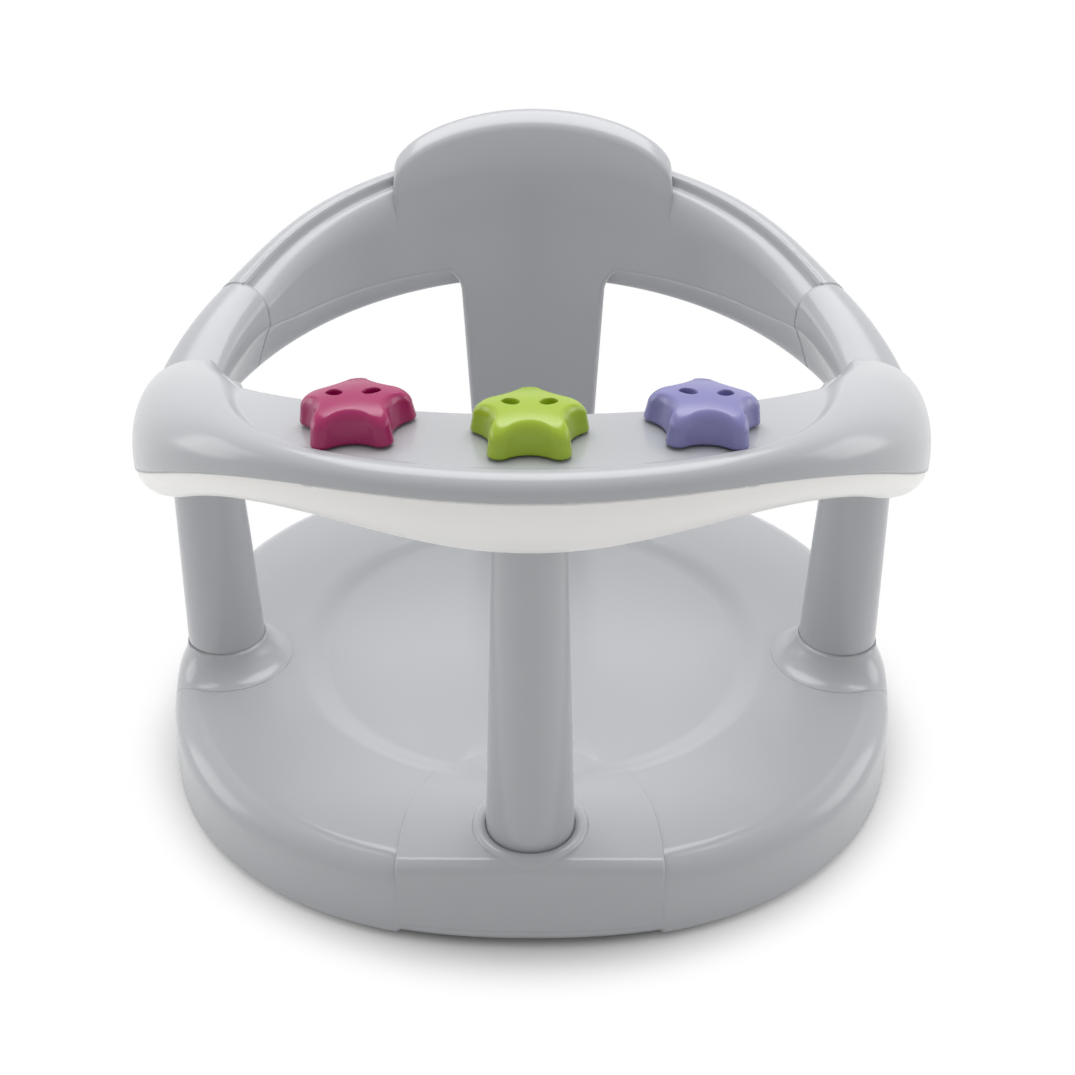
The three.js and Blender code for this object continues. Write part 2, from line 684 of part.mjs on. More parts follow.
// The closed loop of a cross-section, put at its angle round the ring. Each point is
// [distance in from the outer edge, height].
function placeSection(angle, section, innerEdge) {
  const outer = outerEdge(angle);
  const inward = innerEdge(angle).sub(outer).normalize();
  return section.map(([distance, height]) => new THREE.Vector3(
    outer.x + inward.x * distance,
    outer.y + inward.y * distance,
    height,
  ));
}

function offsetSection(section, amount) {
  const area = section.reduce((sum, [x, y], i) => {
    const [nextX, nextY] = section[(i + 1) % section.length];
    return sum + x * nextY - nextX * y;
  }, 0);
  const side = Math.sign(area) * amount;
  return section.map(([x, y], i) => {
    const [beforeX, beforeY] = section.at(i - 1);
    const [afterX, afterY] = section[(i + 1) % section.length];
    const along = new THREE.Vector2(afterX - beforeX, afterY - beforeY).normalize();
    return [x + side * along.y, y - side * along.x];
  });
}

const trayWidth = (angle) => trayInnerEdge(angle).distanceTo(outerEdge(angle));

// Height of the parting plane between the tray's two halves
function seamAt(angle, distance) {
  return lerp(seamHeight(angle), innerSeamHeight(angle), distance / trayWidth(angle));
}

// Height of the tray's upper surface at a distance in from the outer edge
function trayHeight(angle, distance) {
  const ridge = lerp(LIP_WIDTH, LOBE_WIDTH, lobeShare(angle));
  const top = ridgeHeight(angle);
  const seam = seamHeight(angle);
  if (distance < ridge) {
    const share = 1 - distance / ridge;
    return seam + (top - seam) * (1 - share ** DOME_POWER) ** (1 / DOME_POWER);
  }
  const fall = lerp(LIP_FALL, 0.8 * (trayWidth(angle) - LOBE_WIDTH) + 4, lobeShare(angle));
  return lerp(top, surfaceHeight(angle), smoothstep(distance - ridge, 0, fall));
}

// Distances in from the outer edge at which the tray's section has points
function trayDistances(angle) {
  const ridge = lerp(LIP_WIDTH, LOBE_WIDTH, lobeShare(angle));
  const dome = [0, 0.02, 0.08, 0.2, 0.42, 0.7].map((share) => share * ridge);
  const rest = trayWidth(angle) - ridge;
  return [...dome, ...[0, 0.1, 0.3, 0.65, 0.93].map((share) => ridge + share * rest)];
}

// Height share that is left near the rounded ends of the lobes
function endCap(angle) {
  const past = Math.max(0, Math.abs(THREE.MathUtils.radToDeg(angle)) - (TRAY_END - TRAY_CAP)) / TRAY_CAP;
  return (1 - Math.min(past, 0.97) ** DOME_POWER) ** (1 / DOME_POWER);
}

function upperTraySection(angle, inset) {
  const width = trayWidth(angle);
  const seam = seamHeight(angle);
  const innerSeam = innerSeamHeight(angle);
  const cap = endCap(angle);
  const shrink = (width - 2 * inset) / width;
  const top = trayDistances(angle).map((distance) => {
    const base = seamAt(angle, distance);
    const height = base + (trayHeight(angle, distance) - base) * cap;
    return [inset + distance * shrink, Math.max(height - inset, base + 0.2)];
  });
  const lip = innerSeam + (surfaceHeight(angle) - innerSeam) * cap;
  const innerSide = [
    [width - inset, Math.max(lip - 0.35 * TRAY_INNER_LIP - inset, innerSeam + 0.2)],
    [width - inset, innerSeam - 3 * inset],
  ];
  return [[inset, seam - 3 * inset], ...top, ...innerSide];
}

const TRAY_SPAN = degToRad(TRAY_END);

function trayLoft(section, inset) {
  const span = TRAY_SPAN - (inset ? degToRad(1) : 0);
  const stations = inset ? HOLLOW_STATIONS : TRAY_STATIONS;
  const angles = Array.from({ length: stations }, (_, i) => {
    const share = (2 * i) / (stations - 1) - 1;
    return span * Math.sign(share) * Math.abs(share) ** 0.85;
  });
  return loft(angles.map((angle) => placeSection(angle, section(angle, inset), trayInnerEdge)));
}

// Depth of the white bowl below the seam, at a share of the way in from the outer edge
function bellyDepth(angle) {
  const degrees = THREE.MathUtils.radToDeg(angle);
  return BELLY_DEPTH_SIDE + BELLY_DEPTH_EXTRA * Math.exp(-((degrees / BELLY_SPREAD) ** 2));
}

function bellyHeight(angle, share) {
  const seam = seamHeight(angle);
  const bottom = seam - bellyDepth(angle) * endCap(angle);
  if (share < BELLY_LOW_POINT) {
    const rest = 1 - share / BELLY_LOW_POINT;
    return seam - (seam - bottom) * (1 - rest ** BELLY_POWER) ** (1 / BELLY_POWER);
  }
  if (share < BELLY_INNER_LOW_POINT) return bottom;
  const rise = (share - BELLY_INNER_LOW_POINT) / (1 - BELLY_INNER_LOW_POINT);
  return lerp(bottom, innerSeamHeight(angle), 1 - (1 - rise ** DOME_POWER) ** (1 / DOME_POWER));
}

function lowerTraySection(angle, inset) {
  const width = trayWidth(angle) - 2 * TRAY_BASE_STEP;
  const shares = [0, 0.03, 0.1, 0.24, BELLY_LOW_POINT, BELLY_INNER_LOW_POINT, 0.95];
  const edge = TRAY_BASE_STEP + inset;
  const gap = inset ? -inset : FIT;
  const inner = edge + width - 2 * inset;
  const under = shares.map((share) => (
    [lerp(edge, inner, share), bellyHeight(angle, share) - 2 * FIT + inset]
  ));
  return [
    ...under,
    [inner, seamAt(angle, inner) - 2 * FIT - 2],
    [inner, seamAt(angle, inner) - gap],
    [edge, seamAt(angle, edge) - gap],
  ];
}

function trayPoint(angle, share) {
  return outerEdge(angle).lerp(trayInnerEdge(angle), share);
}

// Tray screws: up from below, through a post of the bowl into a boss of the tray

const TRAY_SCREW_PLACES = TRAY_SCREW_ANGLES.map((degrees) => {
  const angle = degToRad(degrees);
  const { x, y } = trayPoint(angle, TRAY_SCREW_PLACE);
  const top = trayHeight(angle, TRAY_SCREW_PLACE * trayWidth(angle));
  return { x, y, top, seat: bellyHeight(angle, TRAY_SCREW_PLACE) + 6 };
});
const TRAY_POST_HEIGHT = 3;

function trayBoss({ x, y, top, seat }) {
  return disc(SCREW_HEAD_RADIUS + 1, seat + TRAY_POST_HEIGHT + FIT, top - TRAY_WALL / 2, SMALL_SIDES, x, y);
}

function trayPost({ x, y, seat }) {
  return disc(SCREW_HEAD_RADIUS + 2.5, seat - TRAY_SCREW_WELL, seat + TRAY_POST_HEIGHT, SMALL_SIDES, x, y);
}

function trayPostHole({ x, y, seat }) {
  const counterbore = disc(SCREW_HEAD_RADIUS + 0.5, seat - TRAY_SCREW_WELL, seat, SMALL_SIDES, x, y);
  return counterbore.add(pilotHole(x, y, seat - 1, seat + TRAY_POST_HEIGHT + 1));
}

// Stars: each stands on the tray, square to its surface

const STAR_ANGLES = { left: degToRad(STAR_ANGLE), centre: 0, right: degToRad(-STAR_ANGLE) };

function starFrame(angle) {
  const place = trayPoint(angle, STAR_PLACE);
  const step = degToRad(2);
  const ahead = trayPoint(angle + step, STAR_PLACE);
  const back = trayPoint(angle - step, STAR_PLACE);
  const along = new THREE.Vector3(
    ahead.x - back.x,
    ahead.y - back.y,
    surfaceHeight(angle + step) - surfaceHeight(angle - step),
  ).normalize();
  const across = trayInnerEdge(angle).sub(outerEdge(angle)).normalize();
  const rearward = new THREE.Vector3(across.x, across.y, 0);
  const normal = rearward.clone().cross(along).normalize();
  if (normal.z < 0) normal.negate();
  const y = new THREE.Vector3(0, 1, 0).addScaledVector(normal, -normal.y).normalize();
  const x = y.clone().cross(normal);
  const matrix = new THREE.Matrix4().makeBasis(x, y, normal);
  return matrix.setPosition(place.x, place.y, surfaceHeight(angle));
}

function starRing(shrink, height, scale = 1, points = STAR_POINTS) {
  return Array.from({ length: points }, (_, i) => {
    const angle = (2 * Math.PI * i) / points + Math.PI / 2;
    const point = (1 + Math.cos(5 * (angle - Math.PI / 2))) / 2;
    const radius = scale * (lerp(STAR_WAIST, STAR_RADIUS, point ** 1.15) - shrink);
    return new THREE.Vector3(radius * Math.cos(angle), radius * Math.sin(angle), height);
  });
}

const STAR_TOP = STAR_LIFT + STAR_HEIGHT;
const BUSHING_BOTTOM = -TRAY_WALL - BUSHING_DEPTH;

// A slot with round ends; its outer end points to the back
function slotCutter(side) {
  const half = (SLOT_LENGTH - SLOT_WIDTH) / 2;
  const shape = new THREE.Shape();
  shape.absarc(half, 0, SLOT_WIDTH / 2, -Math.PI / 2, Math.PI / 2);
  shape.absarc(-half, 0, SLOT_WIDTH / 2, Math.PI / 2, (3 * Math.PI) / 2);
  const geometry = new THREE.ExtrudeGeometry(shape, { depth: STAR_HEIGHT, bevelEnabled: false, curveSegments: 4 });
  geometry.rotateZ(side * degToRad(SLOT_TURN));
  geometry.translate(side * SLOT_OFFSET_X, SLOT_OFFSET_Y, STAR_TOP - STAR_EDGE);
  return solidFromGeometry(geometry);
}

function starBody() {
  const outer = loft([
    starRing(0, STAR_LIFT),
    starRing(0.7, STAR_TOP - STAR_EDGE),
    starRing(1.5, STAR_TOP - 0.45 * STAR_EDGE),
    starRing(STAR_EDGE, STAR_TOP - 0.08 * STAR_EDGE),
    starRing(STAR_EDGE, STAR_TOP, 0.62),
  ]);
  const hollow = loft([
    starRing(STAR_WALL, STAR_LIFT - 1, 1, STAR_POINTS / 2),
    starRing(STAR_WALL + 0.7, STAR_TOP - STAR_EDGE - 0.5, 1, STAR_POINTS / 2),
    starRing(STAR_WALL + 2.2, STAR_TOP - STAR_WALL, 1, STAR_POINTS / 2),
  ]);
  const hub = disc(STAR_HUB_RADIUS, BUSHING_BOTTOM - FIT, STAR_TOP - 1, HUB_SIDES);
  const pilot = pilotHole(0, 0, BUSHING_BOTTOM - 1, BUSHING_BOTTOM + SCREW_LENGTH);
  return without(outer.subtract(hollow).add(hub), [pilot, slotCutter(-1), slotCutter(1)]);
}

const WASHER_TOP = BUSHING_BOTTOM - 2 * FIT;
const STAR_SCREW_SEAT = WASHER_TOP - WASHER_THICKNESS - FIT;

function starWasher() {
  return disc(WASHER_RADIUS, WASHER_TOP - WASHER_THICKNESS, WASHER_TOP, HUB_SIDES)
    .subtract(pilotHole(0, 0, WASHER_TOP - WASHER_THICKNESS - 1, WASHER_TOP + 1));
}

function starScrew() {
  return screwUp(0, 0, STAR_SCREW_SEAT);
}

function starBushing(angle) {
  const ring = disc(STAR_HUB_RADIUS + FIT + BUSHING_WALL, BUSHING_BOTTOM, -TRAY_WALL / 2, HUB_SIDES);
  return moved(ring, starFrame(angle));
}

function starBore(angle) {
  return moved(disc(STAR_HUB_RADIUS + FIT, BUSHING_BOTTOM - 1, 3, HUB_SIDES), starFrame(angle));
}

// Arms and arch: one section runs from the lobes round the back, low and rounded at the
// arms, tall with a raised rim at the arch

function saddle(angle) {
  const degrees = Math.abs(THREE.MathUtils.radToDeg(angle));
  return Math.sin((Math.PI / 2) * (degrees - SADDLE_ANGLE) / (180 - SADDLE_ANGLE));
}

function archHeights(angle) {
  const rise = saddle(angle);
  return {
    top: ARCH_TOP_SIDE + ARCH_TOP_RISE * rise,
    bottom: ARCH_TOP_SIDE - ARCH_SIDE_DEPTH + ARCH_BOTTOM_RISE * rise,
    crease: ARCH_TOP_SIDE - ARCH_CREASE_DEPTH + ARCH_CREASE_RISE * Math.max(0, rise) ** 0.6,
  };
}

const archWidth = (angle) => archInnerEdge(angle).distanceTo(outerEdge(angle));

function archSection(angle) {
  const { top, bottom, crease } = archHeights(angle);
  const width = archWidth(angle);
  const scale = width / ARCH_WIDTH;
  return [
    [0.13 * width, bottom],
    [0, bottom + 6],
    [0.015 * width, top - 14],
    [0.08 * width, top - 4.5],
    [0.2 * width, top - 1],
    [0.34 * width, top],
    [width - 14 * scale, top - 0.2],
    [width - 11 * scale, top - 1.4],
    [width - 9.6 * scale, top - 3.6],
    [width - 5 * scale, top - 6],
    [width - 2 * scale, top - 11],
    [width - 0.4, crease + 12],
    [width, crease + 1],
    [width - 1, crease - 1.2],
    [width - ARCH_BEVEL_WIDTH * scale, bottom + 1],
    [width - (ARCH_BEVEL_WIDTH + 2.5) * scale, bottom],
  ];
}

// The arm keeps the arch's outer wall and bevel, with a fully rounded top
function armSection(angle) {
  const { top, bottom, crease } = archHeights(angle);
  const width = archWidth(angle);
  const spring = lerp(crease, top, 0.25);
  const crown = Array.from({ length: 9 }, (_, i) => {
    const turn = (Math.PI * (i + 1)) / 10;
    const point = superellipse(turn, width / 2, top - spring, 2.3);
    return [width / 2 - point.x, spring + point.y];
  });
  return [
    [0.15 * width, bottom],
    [0, bottom + 7],
    [0, spring],
    ...crown,
    [width, spring],
    [width - 1, crease - 4],
    [width - ARCH_BEVEL_WIDTH, bottom + 1],
    [width - ARCH_BEVEL_WIDTH - 3, bottom],
  ];
}

function ringLoft(section, side, start, end, stations, offset = 0) {
  const rings = Array.from({ length: stations }, (_, i) => {
    const angle = side * degToRad(lerp(start, end, i / (stations - 1)));
    return placeSection(angle, offsetSection(section(angle), offset), archInnerEdge);
  });
  return loft(rings);
}

// Degrees round the ring that a gap takes
const SEAM_GAP = THREE.MathUtils.radToDeg(FIT / RING_BACK);

function armBody(side, offset = 0) {
  return ringLoft(armSection, side, ARM_START - (offset ? 0.5 : 0), ARM_SEAM - SEAM_GAP, ARM_STATIONS, offset);
}

const SIDE_LEG_ANGLE = Math.atan2(SIDE_LEG_X / RING_HALF_WIDTH, -SIDE_LEG_Y / RING_FRONT);

// Heights of the stack over a side leg: leg, floor of its socket, arm's tongue, screw
const SIDE_LEG_TOP = seamHeight(SIDE_LEG_ANGLE) - 2;
const TONGUE_BOTTOM = SIDE_LEG_TOP + FIT + SOCKET_FLOOR + FIT;
const TONGUE_TOP = TONGUE_BOTTOM + ARM_TONGUE_THICKNESS;

// Flat tongue that reaches over the leg, where the leg's screw clamps it
function armTongue(side, offset = 0) {
  const middle = archWidth(0.5 * Math.PI) / 2;
  const half = ARM_TONGUE_WIDTH / 2;
  const section = () => offsetSection([
    [middle - half, TONGUE_BOTTOM],
    [middle - half, TONGUE_TOP],
    [middle + half, TONGUE_TOP],
    [middle + half, TONGUE_BOTTOM],
  ], offset);
  return ringLoft(section, side, ARM_TONGUE_START, ARM_START + 1, 4);
}

// The arch's end is drawn in to a plain spigot that plugs into the arm
function spigotSection(angle) {
  const { top, bottom, crease } = archHeights(angle);
  const width = archWidth(angle);
  const inset = ARM_SPIGOT_INSET;
  return [
    [inset + 3, bottom + inset],
    [inset, bottom + inset + 4],
    [inset, top - inset - 10],
    [0.4 * width, top - inset - 3],
    [width - inset - 3, top - inset - 10],
    [width - inset - 3, crease + 2],
    [width - inset - 9, bottom + inset],
  ];
}

function archSpigot(side, offset = 0) {
  const reach = ARM_SPIGOT_SPAN + (offset > 0 ? SEAM_GAP : 0);
  return ringLoft(spigotSection, side, ARM_SEAM - reach, ARM_SEAM + 1, 3, offset);
}

// The screw that holds the arch's spigot in the arm comes up from below
const ARM_SCREW_ANGLE = degToRad(ARM_SEAM - ARM_SPIGOT_SPAN / 2);

function armScrewPlace(side) {
  const outer = outerEdge(ARM_SCREW_ANGLE);
  const inward = archInnerEdge(ARM_SCREW_ANGLE).sub(outer).normalize();
  const point = outer.addScaledVector(inward, 0.36 * archWidth(ARM_SCREW_ANGLE));
  const seat = archHeights(ARM_SCREW_ANGLE).bottom + SCREW_HEAD_HEIGHT;
  return { x: side * point.x, y: point.y, seat };
}

function arm(side) {
  const { x, y, seat } = armScrewPlace(side);
  const holes = disc(SCREW_HEAD_RADIUS + 0.5, seat - ARM_SCREW_WELL, seat, SMALL_SIDES, x, y)
    .add(pilotHole(x, y, seat - 1, seat + SCREW_LENGTH + 1));
  const legHole = pilotHole(-side * SIDE_LEG_X, SIDE_LEG_Y, TONGUE_BOTTOM - 5, TONGUE_TOP + 5);
  const socket = archSpigot(side, FIT);
  return without(armBody(side).add(armTongue(side)), [holes, legHole, socket]);
}

// Backrest

// Front face of the panel and column, concentric with the arch's inner face
function backFaceY(x) {
  const share = x / (RING_HALF_WIDTH - ARCH_WIDTH);
  return (BACK_FACE_Y + PANEL_PROUD) * Math.sqrt(1 - share * share) - PANEL_PROUD;
}

function panelTopAt(x) {
  const share = Math.min(1, Math.abs(x) / PANEL_HALF_WIDTH);
  return PANEL_SHOULDER_HEIGHT + (PANEL_TOP_HEIGHT - PANEL_SHOULDER_HEIGHT) * Math.sqrt(1 - share * share);
}

function panelSection(x) {
  const front = backFaceY(x);
  const top = panelTopAt(x);
  const bottom = archHeights(Math.PI).bottom + 4;
  const edge = top - PANEL_TOP_SLOPE;
  const shoulder = Math.min(PANEL_SHOULDER_HEIGHT, top - 2 * PANEL_EDGE_RADIUS);
  const point = (depth, height) => new THREE.Vector3(x, front + depth, height);
  return [
    point(1, bottom),
    point(0, bottom + 12),
    point(0, edge - PANEL_EDGE_RADIUS),
    point(0.3 * PANEL_EDGE_RADIUS, edge - 0.3 * PANEL_EDGE_RADIUS),
    point(PANEL_EDGE_RADIUS, edge),
    point(PANEL_TOP_THICKNESS - PANEL_EDGE_RADIUS, top),
    point(PANEL_TOP_THICKNESS, top - PANEL_EDGE_RADIUS),
    point(lerp(PANEL_TOP_THICKNESS, PANEL_THICKNESS, 0.6), shoulder),
    point(PANEL_THICKNESS, shoulder - PANEL_THINNING),
    point(PANEL_THICKNESS, bottom + 4),
    point(PANEL_THICKNESS - 4, bottom),
  ];
}

function panelBody() {
  const rings = Array.from({ length: PANEL_STATIONS }, (_, i) => (
    panelSection(-PANEL_HALF_WIDTH * Math.cos((Math.PI * i) / (PANEL_STATIONS - 1)))
  ));
  return loft(rings);
}

const COLUMN_TOP = archHeights(Math.PI).crease;
const COLUMN_FOOT = BASE_TOP + FIT;

// Half width of the column: a slight taper, flaring into the arch with a round fillet
function columnHalfWidth(height) {
  const spring = COLUMN_TOP - COLUMN_FILLET;
  const straight = COLUMN_HALF_WIDTH_TOP - COLUMN_TAPER * (spring - Math.min(height, spring));
  const share = Math.max(0, height - spring) / COLUMN_FILLET;
  return straight + COLUMN_FILLET * (1 - Math.sqrt(1 - share * share));
}

function columnRing(height) {
  const half = columnHalfWidth(height);
  const corner = COLUMN_EDGE_RADIUS;
  const ring = [];
  const across = 5;
  for (let i = 0; i <= across; i++) {
    const x = lerp(-half + corner, half - corner, i / across);
    ring.push(new THREE.Vector3(x, backFaceY(x), height));
  }
  const edge = backFaceY(half);
  const depth = COLUMN_THICKNESS;
  ring.push(new THREE.Vector3(half - 0.25 * corner, edge + 0.35 * corner, height));
  ring.push(new THREE.Vector3(half, edge + corner, height));
  ring.push(new THREE.Vector3(half, edge + depth - corner, height));
  for (let i = 0; i <= across; i++) {
    const x = lerp(half - corner, -half + corner, i / across);
    ring.push(new THREE.Vector3(x, backFaceY(x) + depth, height));
  }
  ring.push(new THREE.Vector3(-half, edge + depth - corner, height));
  ring.push(new THREE.Vector3(-half, edge + corner, height));
  ring.push(new THREE.Vector3(-half + 0.25 * corner, edge + 0.35 * corner, height));
  return ring;
}

function columnBody() {
  const spring = COLUMN_TOP - COLUMN_FILLET;
  const flare = [0, 0.3, 0.55, 0.75, 0.89, 0.97].map((share) => spring + share * COLUMN_FILLET);
  return loft([COLUMN_FOOT, lerp(COLUMN_FOOT, spring, 0.5), ...flare].map(columnRing));
}

const FULL_TURN = 360;

function backrest() {
  const archEnd = FULL_TURN - ARM_SEAM - SEAM_GAP;
  const arch = ringLoft(archSection, 1, ARM_SEAM + SEAM_GAP, archEnd, ARCH_STATIONS);
  const tenon = block(2 * TENON_HALF_WIDTH, TENON_THICKNESS, TENON_FOOT, COLUMN_FOOT + 5, 0, TENON_Y);
  const spigots = [1, -1].map((side) => archSpigot(side));
  const holes = [-BACK_SCREW_X, BACK_SCREW_X].map((x) => (
    pilotHole(x, TENON_Y, TENON_FOOT - 1, TENON_FOOT + SCREW_LENGTH)
  ));
  const armHoles = [1, -1].map((side) => {
    const { x, y, seat } = armScrewPlace(side);
    return pilotHole(x, y, seat - 1, seat + SCREW_LENGTH + 1);
  });
  return without(joined([arch, panelBody(), columnBody(), tenon, ...spigots]), [...holes, ...armHoles]);
}

// Legs and their sockets in the under-tray

const FRONT_LEG_SHARE = (RING_FRONT + FRONT_LEG_Y) / (RING_FRONT - TRAY_INNER_FRONT);
const FRONT_LEG_TOP = bellyHeight(0, FRONT_LEG_SHARE) + 15;
const LEG_TOPS = {
  front_leg: FRONT_LEG_TOP,
  left_leg: SIDE_LEG_TOP,
  right_leg: SIDE_LEG_TOP,
};

// A tube closed on top, round a post that takes both screws
function leg(name) {
  const { x, y } = LEG_PLACES[name];
  const top = LEG_TOPS[name];
  const inside = top - LEG_END_WALL;
  const body = revolve([
    [0, LEG_FOOT],
    [LEG_POST_RADIUS, LEG_FOOT],
    [LEG_POST_RADIUS, inside],
    [legRadiusAt(inside) - LEG_WALL, inside],
    [LEG_RADIUS - LEG_WALL, LEG_FOOT],
    [LEG_RADIUS, LEG_FOOT],
    [LEG_RADIUS, TAPER_START],
    [legRadiusAt(top), top - 1],
    [legRadiusAt(top) - 1, top],
    [0, top],
  ], ROUND_SIDES, x, y);
  const lower = pilotHole(x, y, LEG_FOOT - 1, LEG_FOOT + SCREW_LENGTH);
  const upper = pilotHole(x, y, top - SCREW_LENGTH, top + 1);
  return without(body, [lower, upper]);
}

function upperSocket(name) {
  const { x, y } = LEG_PLACES[name];
  const top = LEG_TOPS[name] + FIT;
  const radius = legRadiusAt(top - UPPER_SOCKET_DEPTH) + FIT + SOCKET_WALL;
  return disc(radius, top - UPPER_SOCKET_REACH, top + SOCKET_FLOOR, ROUND_SIDES, x, y);
}

function upperBore(name) {
  const { x, y } = LEG_PLACES[name];
  const top = LEG_TOPS[name] + FIT;
  const bore = revolve([
    [0, top - UPPER_BORE_REACH],
    [legRadiusAt(top - UPPER_BORE_REACH) + FIT, top - UPPER_BORE_REACH],
    [legRadiusAt(top) + FIT, top],
    [0, top],
  ], ROUND_SIDES, x, y);
  return bore.add(pilotHole(x, y, top - 1, top + SOCKET_FLOOR + 1));
}

function trayTop() {
  const shell = without(trayLoft(upperTraySection, 0), [trayLoft(upperTraySection, TRAY_WALL)]);
  const stars = Object.values(STAR_ANGLES);
  const body = joined([shell, ...TRAY_SCREW_PLACES.map(trayBoss), ...stars.map(starBushing)]);
  const pilots = TRAY_SCREW_PLACES.map(({ x, y, seat }) => pilotHole(x, y, seat, seat + SCREW_LENGTH + 1));
  const arms = [1, -1].flatMap((side) => [armBody(side, FIT), armTongue(side, FIT)]);
  return without(body, [...pilots, ...stars.map(starBore), ...arms]);
}

function trayBase() {
  const form = trayLoft(lowerTraySection, 0);
  const shell = without(form, [trayLoft(lowerTraySection, TRAY_WALL)]);
  const legs = Object.keys(LEG_PLACES);
  const posts = joined([...TRAY_SCREW_PLACES.map(trayPost), ...legs.map(upperSocket)]).intersect(form);
  const arms = [1, -1].flatMap((side) => [armBody(side, FIT), armTongue(side, FIT)]);
  return without(shell.add(posts), [...TRAY_SCREW_PLACES.map(trayPostHole), ...legs.map(upperBore), ...arms]);
}

// Screws, each where its pilot hole starts

function legLowerScrew(name) {
  const { x, y } = LEG_PLACES[name];
  return screwUp(x, y, LEG_FOOT - SOCKET_FLOOR - 2 * FIT);
}

function legUpperScrew(name) {
  const { x, y } = LEG_PLACES[name];
  const clamped = name === 'front_leg' ? LEG_TOPS[name] + FIT + SOCKET_FLOOR : TONGUE_TOP;
  return screwDown(x, y, clamped + FIT);
}

function trayScrew({ x, y, seat }) {
  return screwUp(x, y, seat - FIT);
}

function armScrew(side) {
  const { x, y, seat } = armScrewPlace(side);
  return screwUp(x, y, seat - FIT);
}

function backrestScrew(x) {
  return screwUp(x, TENON_Y, TENON_FOOT - SOCKET_FLOOR - 2 * FIT);
}

// Materials

const FINISHES = {
  grey: { color: 0xaeb2b6, roughness: 0.35, metalness: 0 },
  white: { color: 0xe9e8e4, roughness: 0.38, metalness: 0 },
  magenta: { color: 0xa6205f, roughness: 0.3, metalness: 0 },
  green: { color: 0x9ccb2c, roughness: 0.3, metalness: 0 },
  violet: { color: 0x6a63a8, roughness: 0.3, metalness: 0 },
  rubber: { color: 0xc9cccd, roughness: 0.6, metalness: 0 },
  steel: { color: 0xb8babd, roughness: 0.35, metalness: 1 },
};

const bathRing = new THREE.Group();

function addPiece(name, solid, finish, matrix) {
  const mesh = new THREE.Mesh(geometryOf(solid), new THREE.MeshStandardMaterial(FINISHES[finish]));
  mesh.name = name;
  if (matrix) mesh.applyMatrix4(matrix);
  bathRing.add(mesh);
}

addPiece('base_shell', baseShell(), 'grey');
Object.keys(LEG_PLACES).forEach((name) => addPiece(name, leg(name), 'grey'));
addPiece('tray_top', trayTop(), 'grey');
addPiece('tray_base', trayBase(), 'white');
addPiece('left_arm', arm(1), 'grey');
addPiece('right_arm', arm(-1), 'grey');
addPiece('backrest', backrest(), 'grey');

CUP_PLACES.forEach((place) => {
  const name = `suction_cup_${place.y < 0 ? 'front' : 'rear'}_${place.x < 0 ? 'left' : 'right'}`;
  addPiece(name, suctionCup(place), 'rubber');
});

const STAR_FINISHES = { left: 'magenta', centre: 'green', right: 'violet' };
Object.entries(STAR_ANGLES).forEach(([name, angle]) => {
  const matrix = starFrame(angle);
  addPiece(`${name}_star`, starBody(), STAR_FINISHES[name], matrix);
  addPiece(`${name}_star_washer`, starWasher(), 'steel', matrix);
  addPiece(`${name}_star_screw`, starScrew(), 'steel', matrix);
});

Object.keys(LEG_PLACES).forEach((name) => {
  addPiece(`${name}_lower_screw`, legLowerScrew(name), 'steel');
  addPiece(`${name}_upper_screw`, legUpperScrew(name), 'steel');
});
TRAY_SCREW_PLACES.forEach((place, i) => addPiece(`tray_screw_${i + 1}`, trayScrew(place), 'steel'));
addPiece('left_arm_screw', armScrew(1), 'steel');
addPiece('right_arm_screw', armScrew(-1), 'steel');
addPiece('left_backrest_screw', backrestScrew(-BACK_SCREW_X), 'steel');
addPiece('right_backrest_screw', backrestScrew(BACK_SCREW_X), 'steel');

export default bathRing;
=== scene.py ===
# Baby bath ring: a round base on suction cups, three legs, a tray with spinning stars,
# two arms and a backrest. Shapes are worked out in millimetres and set down in metres.

import math

import bmesh
import bpy
import numpy as np
from mathutils import Matrix, Vector


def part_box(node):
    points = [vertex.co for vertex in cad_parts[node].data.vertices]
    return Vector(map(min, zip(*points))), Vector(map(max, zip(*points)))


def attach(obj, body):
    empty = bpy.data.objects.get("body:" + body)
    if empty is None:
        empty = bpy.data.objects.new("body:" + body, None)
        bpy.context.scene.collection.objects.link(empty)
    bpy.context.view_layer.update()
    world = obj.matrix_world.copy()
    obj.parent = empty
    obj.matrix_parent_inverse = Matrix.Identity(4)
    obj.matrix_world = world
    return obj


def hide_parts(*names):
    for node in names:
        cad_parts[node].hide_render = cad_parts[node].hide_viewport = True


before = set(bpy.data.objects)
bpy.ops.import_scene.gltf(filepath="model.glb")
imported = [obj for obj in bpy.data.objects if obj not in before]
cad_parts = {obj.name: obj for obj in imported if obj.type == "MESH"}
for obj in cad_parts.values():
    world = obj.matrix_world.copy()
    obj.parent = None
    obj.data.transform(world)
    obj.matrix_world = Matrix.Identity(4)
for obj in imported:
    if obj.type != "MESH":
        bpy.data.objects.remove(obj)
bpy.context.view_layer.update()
scene = bpy.context.scene


# Studio: a white floor in a white room with three softboxes, one above and one on each side,
# seen by a 50 mm lens from the tray's side, 31 degrees down.

